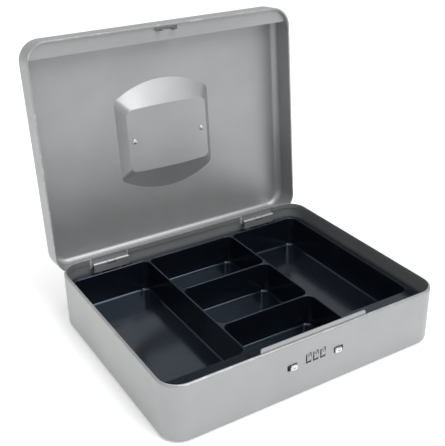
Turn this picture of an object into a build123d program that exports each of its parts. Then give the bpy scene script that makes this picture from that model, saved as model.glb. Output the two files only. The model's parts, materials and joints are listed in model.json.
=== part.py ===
"""Cash box with a hinged lid, a lift-out coin tray and a three-dial combination lock.

Frame: origin at the centre of the base's underside, +X to the right, -Y out of
the front face, +Z up. Millimetres. Lid pieces are modelled closed and then swung
open about the hinge pins, so the written pose is the open box.
"""

from build123d import *
from math import cos, sin, radians
import os

# ---- overall sizes -------------------------------------------------------
box_length = 300.0
box_depth = 240.0
body_height = 60.0
lid_height = 30.0
lid_gap = 0.4
open_angle = 94.7

# ---- sheet metal ---------------------------------------------------------
sheet = 1.2
corner_radius = 21.4
base_edge_radius = 4.0
rim_edge_radius = 2.1
lid_edge_radius = 8.0
hem_height = 6.0
lid_hem_height = 4.4
lid_hem_thickness = 0.6
lid_hem_rear_clearance = 26.0
weld_plate = 1.0

# ---- working values for cuts ----------------------------------------------
over = 1.0          # how far a cutter runs past what it cuts
edge_find = 0.01    # half height of the band in which an edge is looked for

# ---- hinges --------------------------------------------------------------
hinge_centre_x = 93.5
hinge_width = 40.0
hinge_axis_inset = 5.8
hinge_axis_drop = 6.45
hinge_pin_radius = 1.0
hinge_pin_overhang = 0.3
hinge_running_clearance = 0.06
hinge_grip_clearance = 0.02
knuckle_radius = 2.0
lid_knuckle_width = 8.0
knuckle_gap = 0.3
leaf_gap = 0.3
leaf_reach = 7.2
leaf_height = 20.0
bracket_shelf_drop = 8.15
bracket_flange_height = 10.0
notch_side_gap = 2.3
notch_swing_gap = 0.4
hinge_rivet_spacing = 24.0

# ---- rivets --------------------------------------------------------------
rivet_radius = 1.5
rivet_head_radius = 2.8
rivet_head_height = 1.3
rivet_dome_share = 0.7

# ---- lock ----------------------------------------------------------------
dial_pitch = 8.0
dial_count = 3
dial_radius = 7.0
dial_width = 4.4
dial_height = 37.8
dial_groove_count = 10
dial_groove_radius = 0.55
dial_side_gap = 0.5
window_half_height = 5.2
window_edge_clearance = 0.3
hub_radius = 3.2
hub_flange_radius = 4.6
hub_flange_width = 0.6
hub_end_gap = 0.35
shaft_radius = 1.5
shaft_clearance = 0.05
gate_width = 2.4
guard_half_width = 58.0
guard_bottom = 22.0
guard_rise = 4.5
guard_opening_margin = 4.0
guard_corner_radius = 2.4
case_half_width = 40.0
case_bottom = 26.0
case_top = 53.0
case_depth = 12.4
case_ear = 11.0
case_ear_inset = 3.6
case_wall = 1.2
button_x = 25.0
button_height = 34.8
button_width = 7.4
button_tall = 5.4
button_proud = 2.4
button_travel = 2.0
button_gap = 0.5
button_stem_width = 5.0
button_stem_tall = 3.6
button_corner_radius = 1.2
button_face_radius = 0.8
slide_thickness = 1.6
slide_gap = 0.3
slide_inner_x = 17.2
slide_outer_x = 35.0
slide_top = 50.0
slide_arm_width = 5.0
slide_riser_width = 2.0
tooth_thickness = 0.6
tooth_gap = 0.2
tooth_depth = 1.1
bar_thickness = 1.2
nose_thickness = 1.8
spring_radius = 2.2
spring_wire = 0.25
spring_turns = 6
spring_tab_gap = 2.4
detent_thickness = 0.4
detent_foot_height = 4.0
detent_bend_height = 3.0

# ---- strike on the lid ---------------------------------------------------
strike_flange_height = 4.6
strike_flange_width = 14.3
strike_leg_height = 16.0
strike_slot_half_width = 13.0
strike_side_gap = 0.2
hook_inner_x = 5.5
hook_outer_x = 11.5
hook_bite = 1.5
hook_length = 8.5
hook_foot = 1.8
catch_gap = 0.3

# ---- carrying handle -----------------------------------------------------
recess_depth = 10.0
recess_half_width = 55.5
recess_side_half_depth = 43.0
recess_apex = 60.0
recess_corner_radius = 9.0
recess_floor_half_width = 46.8
recess_floor_half_depth = 34.5
recess_floor_bow = 1.0
recess_floor_corner_radius = 7.0
recess_slope_offset = 0.5
recess_edge_radius = 2.0
handle_rivet_x = 40.6
handle_bracket_width = 9.6
handle_bracket_depth = 14.0
handle_ear_x = 33.0
handle_ear_thickness = 1.6
handle_ear_depth = 7.0
handle_foot_corner = 1.5
handle_axis_height = 4.6
bail_wire_radius = 2.0
bail_grip_radius = 3.2
bail_arm_x = 29.5
bail_reach = 26.0
bail_bend_radius = 6.0
bail_pin_bend = 2.6
bail_grip_margin = 1.0
bail_grip_edge = 1.0
bail_pin_end_gap = 0.6
bail_clearance = 0.08

# ---- coin and bill tray --------------------------------------------------
tray_top = 44.0
tray_floor_height = 10.4
tray_wall = 1.6
tray_side_gap = 3.3
tray_hem_gap = 1.0
tray_hinge_gap = 0.6
tray_front_gap = 2.6
tray_lock_gap = 0.6
tray_case_side_gap = 2.4
tray_corner_radius = 16.0
divider_thickness = 2.0
coin_bay_half_width = 51.8
rear_coin_bay_depth = 73.0
middle_coin_bay_depth = 74.5
bill_bay_side_ledge = 5.5
bill_bay_front_ledge = 26.5
bill_bay_draft = 5.0
coin_bay_draft = 2.0
bay_corner_radius = 8.0
bay_floor_radius = 3.0
tray_foot_radius = 6.0
tray_foot_inset = 22.0

# ---- derived places ------------------------------------------------------
rim_z = body_height
lid_rim_z = rim_z + lid_gap
closed_top = body_height + lid_height
front_y = -box_depth / 2
rear_y = box_depth / 2
inner_front_y = front_y + sheet
inner_rear_y = rear_y - sheet
hinge_y = rear_y - hinge_axis_inset
hinge_z = rim_z - hinge_axis_drop
guard_y = inner_front_y + sheet
guard_back_y = guard_y + sheet
case_back_y = guard_back_y + case_depth
window_chord = window_half_height - window_edge_clearance
dial_y = inner_front_y + (dial_radius**2 - window_chord**2) ** 0.5
dial_xs = [dial_pitch * (i - (dial_count - 1) / 2) for i in range(dial_count)]
dial_names = ["left", "centre", "right"]
hub_flange_offset = dial_pitch / 2 - hub_flange_width / 2
slide_front_y = guard_back_y + slide_gap
slide_back_y = slide_front_y + slide_thickness
strike_z = lid_rim_z + strike_flange_height
hook_y = slide_back_y + 2 * slide_gap
hook_bottom = strike_z - hook_length
nose_bottom = hook_bottom + hook_foot + catch_gap
nose_top = nose_bottom + nose_thickness
nose_inner_x = hook_outer_x - hook_bite
case_inner_half = case_half_width - case_wall
recess_floor_z = closed_top - recess_depth
handle_z = recess_floor_z + handle_axis_height
lean_angle = open_angle - 90.0
tray_rear_y = rear_y - 2 * sheet - tray_hem_gap
bay_rear_y = hinge_y - knuckle_radius - tray_hinge_gap - tray_wall
tray_front_y = inner_front_y + sheet + tray_front_gap
tray_half_length = box_length / 2 - sheet - tray_side_gap


# ---- helpers -------------------------------------------------------------
def block(x0, x1, y0, y1, z0, z1):
    """Box between two corners, given in any order along each axis."""
    centre = Pos((x0 + x1) / 2, (y0 + y1) / 2, (z0 + z1) / 2)
    return centre * Box(abs(x1 - x0), abs(y1 - y0), abs(z1 - z0))


def rod_x(x0, x1, y, z, radius):
    """Cylinder along X."""
    return Pos((x0 + x1) / 2, y, z) * Rot(0, 90, 0) * Cylinder(radius, abs(x1 - x0))


def rod_y(x, y0, y1, z, radius):
    """Cylinder along Y."""
    return Pos(x, (y0 + y1) / 2, z) * Rot(90, 0, 0) * Cylinder(radius, abs(y1 - y0))


def rod_z(x, y, z0, z1, radius):
    """Cylinder along Z."""
    return Pos(x, y, (z0 + z1) / 2) * Cylinder(radius, abs(z1 - z0))


def plan_slab(inset, z0, z1):
    """The box's rounded plan, set in by inset, between two heights."""
    plan = RectangleRounded(
        box_length - 2 * inset, box_depth - 2 * inset, corner_radius - inset
    )
    return Pos(0, 0, z0) * extrude(plan, z1 - z0)


def edges_at(solid, z):
    """The edges that lie wholly at one height."""
    return solid.edges().filter_by_position(Axis.Z, z - edge_find, z + edge_find)


def dome_rivet(x, y_head, y_end, z):
    """Rivet along Y: a domed head that starts at y_head and a shank to y_end."""
    away = -1 if y_end > y_head else 1
    top = y_head + away * rivet_head_height
    head = rod_y(x, y_head, top, z, rivet_head_radius)
    rim = head.edges().filter_by_position(Axis.Y, top - edge_find, top + edge_find)
    head = fillet(rim, rivet_head_height * rivet_dome_share)
    return head + rod_y(x, y_head, y_end, z, rivet_radius)


def opened(shape):
    """A lid piece swung from closed to open about the hinge pins."""
    return shape.rotate(Axis((0, hinge_y, hinge_z), (1, 0, 0)), -open_angle)


def save(name, *solids):
    """Write one node, as one solid or as a group of separate ones."""
    shape = solids[0] if len(solids) == 1 else Compound(children=list(solids))
    export_step(shape, f"parts/{name}.step")


def pair(build):
    """Build a left and a right piece with build(side), side being -1 or 1."""
    return [("left", build(-1)), ("right", build(1))]


# ---- body ----------------------------------------------------------------
def hinge_notch(side):
    """Opening in the rear wall that a hinge leaf swings through."""
    half = hinge_width / 2 + notch_side_gap
    swing = ((hinge_axis_inset - sheet) ** 2 + (knuckle_radius + leaf_gap) ** 2) ** 0.5
    centre = side * hinge_centre_x
    bottom = hinge_z - swing - notch_swing_gap
    return block(
        centre - half, centre + half, rear_y - 2 * sheet - over, rear_y + over, bottom, rim_z + over
    )


def button_slot(side, y0, y1, width, tall):
    """Slot that lets a slide button, or its stem, travel outwards."""
    inner = button_x - width / 2 - button_gap
    outer = button_x + width / 2 + button_travel + button_gap
    half = tall / 2 + button_gap
    return block(
        side * inner, side * outer, y0, y1, button_height - half, button_height + half
    )


def dial_window(x, y0, y1):
    """Window in the front wall for one number dial."""
    half = dial_width / 2 + dial_side_gap
    return block(
        x - half, x + half, y0, y1, dial_height - window_half_height, dial_height + window_half_height
    )


def body_shell():
    """Drawn steel pan with a folded hem inside its rim."""
    shell = plan_slab(0, 0, rim_z)
    shell = fillet(edges_at(shell, 0), base_edge_radius)
    shell = fillet(edges_at(shell, rim_z), rim_edge_radius)
    pocket = plan_slab(sheet, sheet, rim_z - hem_height)
    pocket = fillet(edges_at(pocket, sheet), base_edge_radius - sheet)
    shell -= pocket
    shell -= plan_slab(2 * sheet, rim_z - hem_height - over, rim_z + over)
    for side in (-1, 1):
        shell -= hinge_notch(side)
        shell -= button_slot(side, front_y - over, inner_front_y + over, button_width, button_tall)
        for x in hinge_rivet_xs(side):
            shell -= rod_y(x, inner_rear_y - over, rear_y + over, bracket_rivet_z(), rivet_radius)
    for x in dial_xs:
        shell -= dial_window(x, front_y - over, inner_front_y + over)
    return shell


# ---- hinges --------------------------------------------------------------
def hinge_rivet_xs(side):
    """The two rivet places across one hinge."""
    half = hinge_rivet_spacing / 2
    return [side * hinge_centre_x - half, side * hinge_centre_x + half]


def bracket_shelf_z():
    """Top of the shelf that joins a bracket's front plate to the rear wall."""
    return hinge_z - bracket_shelf_drop


def bracket_rivet_z():
    """Height of the rivets that hold a hinge bracket to the rear wall."""
    return bracket_shelf_z() - weld_plate - bracket_flange_height / 2


def leaf_rivet_z():
    """Height, lid closed, of the rivets that hold a hinge leaf to the lid."""
    return lid_rim_z + leaf_height / 2


def hinge_bracket(side):
    """Body half of a hinge: two knuckles on a plate that steps back to the wall."""
    centre = side * hinge_centre_x
    x0, x1 = centre - hinge_width / 2, centre + hinge_width / 2
    front = hinge_y - knuckle_radius
    shelf = bracket_shelf_z()
    plate = block(x0, x1, front, front + weld_plate, shelf - weld_plate, hinge_z)
    ledge = block(x0, x1, front, inner_rear_y, shelf - weld_plate, shelf)
    drop = shelf - weld_plate - bracket_flange_height
    flange = block(x0, x1, inner_rear_y - weld_plate, inner_rear_y, drop, shelf)
    barrel = rod_x(x0, x1, hinge_y, hinge_z, knuckle_radius)
    gap = lid_knuckle_width / 2 + knuckle_gap
    reach = knuckle_radius + leaf_gap
    middle = block(
        centre - gap, centre + gap, hinge_y - reach, hinge_y + reach, hinge_z - reach, hinge_z + reach
    )
    bore = rod_x(x0 - over, x1 + over, hinge_y, hinge_z, hinge_pin_radius + hinge_grip_clearance)
    bracket = plate + ledge + flange + barrel - middle - bore
    for x in hinge_rivet_xs(side):
        bracket -= rod_y(x, inner_rear_y - weld_plate - over, rear_y, bracket_rivet_z(), rivet_radius)
    return bracket


def lid_leaf(side):
    """Lid half of a hinge, lid closed: an angle plate with one middle knuckle."""
    centre = side * hinge_centre_x
    x0, x1 = centre - hinge_width / 2, centre + hinge_width / 2
    low = hinge_z + knuckle_radius + leaf_gap
    top = lid_rim_z + leaf_height
    flat = block(x0, x1, hinge_y - leaf_reach, inner_rear_y, low, low + weld_plate)
    upright = block(x0, x1, inner_rear_y - weld_plate, inner_rear_y, low, top)
    leaf = flat + upright
    half = lid_knuckle_width / 2
    knuckle = rod_x(centre - half, centre + half, hinge_y, hinge_z, knuckle_radius)
    web = block(
        centre - half, centre + half, hinge_y - weld_plate, hinge_y + weld_plate, hinge_z, low
    )
    bore = rod_x(x0 - over, x1 + over, hinge_y, hinge_z, hinge_pin_radius + hinge_running_clearance)
    leaf = leaf + knuckle + web - bore
    for x in hinge_rivet_xs(side):
        leaf -= rod_y(x, inner_rear_y - weld_plate - over, rear_y, leaf_rivet_z(), rivet_radius)
    return leaf


def hinge_pin(side):
    """Pin held in the bracket's knuckles, turning in the leaf's."""
    half = hinge_width / 2 + hinge_pin_overhang
    centre = side * hinge_centre_x
    return rod_x(centre - half, centre + half, hinge_y, hinge_z, hinge_pin_radius)


def hinge_rivets(z):
    """Four rivets, two at each hinge, flush with the outside of the rear wall."""
    head = inner_rear_y - weld_plate
    return [dome_rivet(x, head, rear_y, z) for side in (-1, 1) for x in hinge_rivet_xs(side)]


# ---- lock ----------------------------------------------------------------
def case_rivet_places():
    """The four rivets through the lock case's ears."""
    x = case_half_width + case_ear / 2
    rise = (case_top - case_bottom) / 4
    middle = (case_top + case_bottom) / 2
    return [(side * x, middle + step) for side in (-1, 1) for step in (-rise, rise)]


def lock_guard():
    """Plate inside the front wall; its top stands above the rim behind the lid."""
    top = rim_z + guard_rise
    guard = block(-guard_half_width, guard_half_width, guard_y, guard_back_y, guard_bottom, top)
    corners = guard.edges().filter_by(Axis.Y)
    guard = fillet(corners, guard_corner_radius)
    half = dial_xs[-1] + dial_width / 2 + guard_opening_margin
    tall = dial_radius + dial_side_gap
    low, high = dial_height - tall, dial_height + tall
    opening = block(-half, half, guard_y - over, guard_back_y + over, low, high)
    guard -= opening
    for side in (-1, 1):
        y0, y1 = guard_y - over, guard_back_y + over
        guard -= button_slot(side, y0, y1, button_stem_width, button_stem_tall)
    for x, z in case_rivet_places():
        guard -= rod_y(x, guard_y - over, guard_back_y + over, z, rivet_radius)
    return guard


def case_rivets():
    """Four rivets from the lock case's ears into the guard plate."""
    head = guard_back_y + case_wall
    return [dome_rivet(x, head, guard_y, z) for x, z in case_rivet_places()]


def cheek_x():
    """Inner face of the cheeks, clear of the right slide's last tooth at full travel."""
    last_tooth = dial_xs[-1] + hub_flange_offset - tooth_gap
    return last_tooth + button_travel + slide_gap


def lock_case():
    """Pressed case behind the guard plate, open at the front, with shaft cheeks."""
    w, half = case_wall, case_half_width
    case = block(-half, half, guard_back_y, case_back_y, case_bottom, case_top)
    inside = case_inner_half
    case -= block(-inside, inside, guard_back_y - over, case_back_y - w, case_bottom + w, case_top - w)
    ear = half + case_ear
    ear_top, ear_bottom = case_top - case_ear_inset, case_bottom + case_ear_inset
    case += block(half - w, ear, guard_back_y, guard_back_y + w, ear_bottom, ear_top)
    case += block(w - half, -ear, guard_back_y, guard_back_y + w, ear_bottom, ear_top)
    bar_clear = dial_radius + dial_side_gap - slide_gap
    for side in (-1, 1):
        x = cheek_x()
        case += block(
            side * x,
            side * (x + w),
            slide_front_y,
            case_back_y - w,
            dial_height - bar_clear,
            dial_height + bar_clear,
        )
        arm_outer = nose_inner_x + slide_arm_width + button_travel + slide_gap
        case -= block(
            side * (nose_inner_x - slide_gap),
            side * arm_outer,
            guard_back_y - over,
            slide_back_y + slide_gap,
            case_top - w - over,
            case_top + over,
        )
    case -= rod_x(-case_inner_half, case_inner_half, dial_y, dial_height, shaft_radius)
    for x, z in case_rivet_places():
        case -= rod_y(x, guard_back_y - over, guard_back_y + w + over, z, rivet_radius)
    return case


def dial_shaft():
    """Plain rod held in the case's two cheeks."""
    half = cheek_x() + case_wall
    return rod_x(-half, half, dial_y, dial_height, shaft_radius)


def number_dial(x):
    """Number dial with detent grooves, on its hub."""
    half = dial_width / 2
    dial = rod_x(x - half, x + half, dial_y, dial_height, dial_radius)
    rims = dial.edges().filter_by(GeomType.CIRCLE)
    dial = fillet(rims, dial_groove_radius / 2)
    dial -= rod_x(x - half - over, x + half + over, dial_y, dial_height, hub_radius)
    for i in range(dial_groove_count):
        turn = radians(360 / dial_groove_count * (i + 0.5))
        y = dial_y + dial_radius * cos(turn)
        z = dial_height + dial_radius * sin(turn)
        dial -= rod_x(x - half - over, x + half + over, y, z, dial_groove_radius)
    return dial


def dial_hub(x):
    """Sleeve inside a dial; its flange has a gate at the top and at the bottom."""
    low = x - dial_width / 2 - hub_end_gap
    flange_start = x + hub_flange_offset
    high = flange_start + hub_flange_width
    hub = rod_x(low, high, dial_y, dial_height, hub_radius)
    hub += rod_x(flange_start, high, dial_y, dial_height, hub_flange_radius)
    hub -= rod_x(low - over, high + over, dial_y, dial_height, shaft_radius + shaft_clearance)
    gate_reach = hub_flange_radius - tooth_depth - tooth_gap
    half = gate_width / 2
    for side in (-1, 1):
        z0 = dial_height + side * gate_reach
        z1 = dial_height + side * (hub_flange_radius + over)
        hub -= block(flange_start, high + over, dial_y - half, dial_y + half, z0, z1)
    return hub


def latch_slide(side):
    """Latch slide: button plate, arm with a nose, spring tab and a toothed bar.

    The left slide's bar runs over the dials and the right one's under them. Each
    tooth passes a hub's flange only where that flange has a gate.
    """
    over = side < 0
    y0, y1 = slide_front_y, slide_back_y
    bar_near = dial_radius + dial_side_gap
    bar_far = bar_near + bar_thickness
    bar_side = 1 if over else -1
    bar_z0 = dial_height + bar_side * bar_near
    bar_z1 = dial_height + bar_side * bar_far
    arm_low = dial_height + bar_far + (0 if over else slide_gap)
    plate_low = dial_height - bar_far
    slide = block(side * slide_inner_x, side * slide_outer_x, y0, y1, plate_low, slide_top)
    slide += block(side * nose_inner_x, side * slide_outer_x, y0, y1, arm_low, slide_top)
    arm_outer = side * (nose_inner_x + slide_arm_width)
    slide += block(side * nose_inner_x, arm_outer, y0, y1, arm_low, nose_top)
    nose_back = hook_y + weld_plate + catch_gap
    slide += block(side * nose_inner_x, arm_outer, y0, nose_back, nose_bottom, nose_top)

    tooth_y0, tooth_y1 = dial_y - gate_width / 2 + tooth_gap, dial_y + gate_width / 2 - tooth_gap
    teeth = []
    for x in dial_xs:
        flange = x + hub_flange_offset
        after = flange + hub_flange_width + tooth_gap
        before = flange - tooth_gap - tooth_thickness
        teeth.append(after if over else before)
    far_end = teeth[-1] + tooth_thickness if over else teeth[0]
    slide += block(side * slide_inner_x, far_end, y0, tooth_y1, bar_z0, bar_z1)
    riser_x = side * (slide_inner_x + slide_riser_width)
    slide += block(side * slide_inner_x, riser_x, y0, y1, bar_z0, slide_top)
    tooth_end = dial_height + bar_side * (hub_flange_radius - tooth_depth)
    for x in teeth:
        slide += block(x, x + tooth_thickness, tooth_y0, tooth_y1, tooth_end, bar_z1)

    tab_x = spring_tab_x(side)
    spring_y, spring_z = spring_centre()
    slide += block(
        tab_x,
        tab_x - side * case_wall,
        y0,
        spring_y + spring_radius,
        spring_z - spring_radius,
        spring_z + spring_radius,
    )
    half_w, half_t = button_stem_width / 2, button_stem_tall / 2
    x = side * button_x
    z0, z1 = button_height - half_t, button_height + half_t
    slide -= block(x - half_w, x + half_w, y0 - over, y1 + over, z0, z1)
    return slide


def spring_tab_x(side):
    """Outer face of the tab that a latch spring pushes on."""
    return side * (button_x + button_stem_width / 2 + spring_tab_gap)


def spring_centre():
    """Axis of the latch springs, as y and z."""
    y = slide_back_y + spring_radius + 2 * slide_gap
    z = slide_top - spring_radius - 2 * slide_gap
    return y, z


def latch_spring(side):
    """Compression spring between the slide's tab and the case's end wall."""
    y, z = spring_centre()
    end = case_inner_half - spring_wire
    start = abs(spring_tab_x(side)) + spring_wire
    length = end - start
    coil_radius = spring_radius - spring_wire
    path = Helix(length / spring_turns, length, coil_radius)
    section = Plane(origin=path @ 0, z_dir=path % 0) * Circle(spring_wire)
    coil = sweep(section, path=path)
    coil = Rot(0, 90, 0) * coil
    return Pos(start if side > 0 else -end, y, z) * coil


def latch_button(side):
    """Slide button that stands through the front wall, riveted to its slide."""
    x = side * button_x
    half_w, half_t = button_width / 2, button_tall / 2
    face_y = front_y - button_proud
    z0, z1 = button_height - half_t, button_height + half_t
    head = block(x - half_w, x + half_w, face_y, inner_front_y + slide_gap, z0, z1)
    head = fillet(head.edges().filter_by(Axis.Y), button_corner_radius)
    face = head.edges().filter_by_position(Axis.Y, face_y - edge_find, face_y + edge_find)
    head = fillet(face, button_face_radius)
    half_w, half_t = button_stem_width / 2, button_stem_tall / 2
    z0, z1 = button_height - half_t, button_height + half_t
    return head + block(x - half_w, x + half_w, inner_front_y, slide_back_y, z0, z1)


def detent_spring():
    """Leaf spring with one finger behind each dial, fixed to the case's back."""
    thickness = detent_thickness
    back = case_back_y - case_wall
    contact = dial_y + dial_radius + slide_gap
    foot = case_bottom + case_wall + slide_gap
    bend_low = foot + detent_foot_height
    bend_high = bend_low + detent_bend_height
    tip = dial_height + dial_radius / 2
    half = dial_xs[-1] + dial_width / 2
    profile = [
        (back, foot),
        (back, bend_low),
        (contact + thickness, bend_high),
        (contact + thickness, tip),
        (contact, tip),
        (contact, bend_high),
        (back - thickness, bend_low),
        (back - thickness, foot),
    ]
    outline = Plane.YZ * make_face(Polyline(*profile, close=True))
    leaf = extrude(outline, half, both=True)
    for left, right in zip(dial_xs, dial_xs[1:]):
        gap0, gap1 = left + dial_width / 2, right - dial_width / 2
        leaf -= block(gap0, gap1, contact - over, back + over, bend_high, tip + over)
    return leaf


# ---- lid -----------------------------------------------------------------
def arch_outline(half_width, side_half, apex, radius, z):
    """Rectangle whose front and rear sides are arcs, with rounded corners."""
    left = Line((-half_width, side_half), (-half_width, -side_half))
    front = ThreePointArc((-half_width, -side_half), (0, -apex), (half_width, -side_half))
    right = Line((half_width, -side_half), (half_width, side_half))
    rear = ThreePointArc((half_width, side_half), (0, apex), (-half_width, side_half))
    face = make_face(left + front + right + rear)
    return Pos(0, 0, z) * fillet(face.vertices(), radius)


def recess_body(grow, drop):
    """The handle recess as a solid: a flat floor and sides that slope outwards."""
    mouth = arch_outline(
        recess_half_width + grow,
        recess_side_half_depth + grow,
        recess_apex + grow,
        recess_corner_radius,
        closed_top - drop,
    )
    floor = arch_outline(
        recess_floor_half_width + grow,
        recess_floor_half_depth - recess_floor_bow + grow,
        recess_floor_half_depth + grow,
        recess_floor_corner_radius,
        recess_floor_z - drop,
    )
    return loft([floor, mouth])


def lid_shell():
    """Drawn steel lid with a sunk recess for the carrying handle."""
    shell = plan_slab(0, lid_rim_z, closed_top)
    shell = fillet(edges_at(shell, closed_top), lid_edge_radius)
    hollow = plan_slab(sheet, lid_rim_z - over, closed_top - sheet)
    hollow = fillet(edges_at(hollow, closed_top - sheet), lid_edge_radius - sheet)
    hem = plan_slab(sheet, lid_rim_z, lid_rim_z + lid_hem_height)
    hem -= plan_slab(sheet + lid_hem_thickness, lid_rim_z - over, closed_top)
    hem_end = rear_y - lid_hem_rear_clearance
    hem -= block(-box_length, box_length, hem_end, box_depth, lid_rim_z - over, closed_top)
    pan = recess_body(recess_slope_offset, sheet)
    pan = fillet(edges_at(pan, recess_floor_z - sheet), recess_edge_radius)
    dish = recess_body(0, 0)
    dish = fillet(edges_at(dish, recess_floor_z), recess_edge_radius - sheet / 2)
    shell = shell - hollow + hem + pan - dish
    for side in (-1, 1):
        x = side * handle_rivet_x
        shell -= rod_z(x, 0, recess_floor_z - 2 * sheet, recess_floor_z + sheet, rivet_radius)
        for rivet_x in hinge_rivet_xs(side):
            shell -= rod_y(rivet_x, inner_rear_y - over, rear_y + over, leaf_rivet_z(), rivet_radius)
    return shell


def strike_angle():
    """Angle along the lid's front: a flange with two hooks that the noses catch."""
    gap = strike_side_gap
    inner_y = inner_front_y + strike_flange_width + sheet
    flange = plan_slab(sheet + gap, strike_z, strike_z + weld_plate)
    flange -= block(-box_length, box_length, inner_y, box_depth, strike_z - over, closed_top)
    straight = box_length / 2 - corner_radius
    top = strike_z + strike_leg_height
    leg = block(
        -straight, straight, inner_front_y, inner_front_y + weld_plate, strike_z, top
    )
    angle = flange + leg
    slot_front = inner_front_y + weld_plate + gap
    slot_w = strike_slot_half_width
    angle -= block(-slot_w, slot_w, slot_front, hook_y, strike_z - over, strike_z + weld_plate + over)
    for side in (-1, 1):
        x0, x1 = side * hook_inner_x, side * hook_outer_x
        hook = block(x0, x1, hook_y, hook_y + weld_plate, hook_bottom, strike_z + weld_plate)
        mouth_x = side * (nose_inner_x - catch_gap)
        mouth_top = nose_top + catch_gap
        y0, y1 = hook_y - over, hook_y + weld_plate + over
        hook -= block(mouth_x, x1 + side * over, y0, y1, hook_bottom + hook_foot, mouth_top)
        angle += hook
    return angle


# ---- carrying handle -----------------------------------------------------
def handle_bracket(side):
    """Riveted foot with an ear that carries one end of the bail."""
    centre = side * handle_rivet_x
    half = handle_bracket_width / 2
    depth = handle_bracket_depth / 2
    z0 = recess_floor_z
    ear_in, ear_out = side * handle_ear_x, side * (handle_ear_x + handle_ear_thickness)
    foot = block(ear_in, centre + side * half, -depth, depth, z0, z0 + weld_plate)
    corners = foot.edges().filter_by(Axis.Z)
    foot = fillet(corners, handle_foot_corner)
    ear_half = handle_ear_depth / 2
    ear = block(ear_in, ear_out, -ear_half, ear_half, z0, handle_z)
    ear += rod_x(ear_in, ear_out, 0, handle_z, ear_half)
    bracket = foot + ear
    bore_radius = bail_wire_radius + bail_clearance
    bracket -= rod_x(ear_in - side * over, ear_out + side * over, 0, handle_z, bore_radius)
    bracket -= rod_z(centre, 0, z0 - over, z0 + weld_plate + over, rivet_radius)
    return bracket


def handle_rivets():
    """Two rivets up through the recess floor and the brackets' feet."""
    rivets = []
    for side in (-1, 1):
        x = side * handle_rivet_x
        under = recess_floor_z - sheet
        head = rod_z(x, 0, under - rivet_head_height, under, rivet_head_radius)
        head = fillet(edges_at(head, under - rivet_head_height), rivet_head_height * rivet_dome_share)
        over = recess_floor_z + weld_plate
        closed = rod_z(x, 0, over, over + rivet_head_height, rivet_head_radius)
        closed = fillet(edges_at(closed, over + rivet_head_height), rivet_head_height * rivet_dome_share)
        rivets.append(head + closed + rod_z(x, 0, under, over, rivet_radius))
    return rivets


def handle_bail():
    """Wire bail with a thicker grip, lying flat towards the rear of the lid."""
    end_x = handle_ear_x + handle_ear_thickness + bail_pin_end_gap
    points = [
        (-end_x, 0, handle_z),
        (-bail_arm_x, 0, handle_z),
        (-bail_arm_x, bail_reach, handle_z),
        (bail_arm_x, bail_reach, handle_z),
        (bail_arm_x, 0, handle_z),
        (end_x, 0, handle_z),
    ]
    bends = [bail_pin_bend, bail_bend_radius, bail_bend_radius, bail_pin_bend]
    path = FilletPolyline(*points, radius=bends)
    section = Plane(origin=path @ 0, z_dir=path % 0) * Circle(bail_wire_radius)
    wire = sweep(section, path=path)
    half = bail_arm_x - bail_bend_radius - bail_grip_margin
    grip = rod_x(-half, half, bail_reach, handle_z, bail_grip_radius)
    grip = fillet(grip.edges().filter_by(GeomType.CIRCLE), bail_grip_edge)
    return wire + grip


# ---- tray ----------------------------------------------------------------
def tray_bays():
    """Every compartment, by node name: its mouth, floor insets and shared sides.

    Each lists its sides in the order left, right, front, rear. The insets say how
    far the floor is set in on each side, and a shared side is a divider's.
    """
    front = case_back_y + tray_lock_gap + tray_wall
    outer = tray_half_length - bill_bay_side_ledge
    coin = coin_bay_half_width
    bill_in = coin + divider_thickness
    bill_front = tray_front_y + bill_bay_front_ledge
    steep, slope = coin_bay_draft, bill_bay_draft
    first = bay_rear_y - rear_coin_bay_depth
    second = first - divider_thickness - middle_coin_bay_depth
    coin_insets = (steep, steep, steep, steep)
    return {
        "tray_bill_bay_left": (
            (-outer, -bill_in, bill_front, bay_rear_y),
            (slope, steep, slope, slope),
            (False, True, False, False),
        ),
        "tray_bill_bay_right": (
            (bill_in, outer, bill_front, bay_rear_y),
            (steep, slope, slope, slope),
            (True, False, False, False),
        ),
        "tray_coin_bay_rear": (
            (-coin, coin, first, bay_rear_y), coin_insets, (True, True, True, False)
        ),
        "tray_coin_bay_middle": (
            (-coin, coin, second, first - divider_thickness), coin_insets, (True, True, True, True)
        ),
        "tray_coin_bay_front": (
            (-coin, coin, front, second - divider_thickness), coin_insets, (True, True, False, True)
        ),
    }


def rounded_face(x0, x1, y0, y1, z, radius):
    """Flat rectangle with rounded corners at one height."""
    plan = RectangleRounded(x1 - x0, y1 - y0, radius)
    return Pos((x0 + x1) / 2, (y0 + y1) / 2, z) * plan


def bay_solid(top, insets, low_z, radius):
    """A compartment as a solid, from its floor up to the tray's top."""
    x0, x1, y0, y1 = top
    a, b, c, d = insets
    low = (x0 + a, x1 - b, y0 + c, y1 - d)
    return loft([rounded_face(*low, low_z, radius), rounded_face(*top, tray_top, radius)])


def bay_outside(mouth, insets, shared):
    """A compartment's outside: upright at a shared side, sloping elsewhere."""
    half = divider_thickness / 2
    a, b, c, d = (half if side else tray_wall for side in shared)
    x0, x1, y0, y1 = mouth
    top = (x0 - a, x1 + b, y0 - c, y1 + d)
    slopes = [0 if side else inset for side, inset in zip(shared, insets)]
    return bay_solid(top, slopes, tray_floor_height, bay_corner_radius + half)


def bay_inside(mouth, insets):
    """A compartment's hollow, with a rounded floor."""
    floor = tray_floor_height + tray_wall
    pocket = bay_solid(mouth, insets, floor, bay_corner_radius)
    return fillet(edges_at(pocket, floor), bay_floor_radius)


def ledge_front_y():
    """Where the rear ledge's node starts, behind the compartments."""
    return bay_rear_y + tray_wall + tray_hinge_gap / 2


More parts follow.
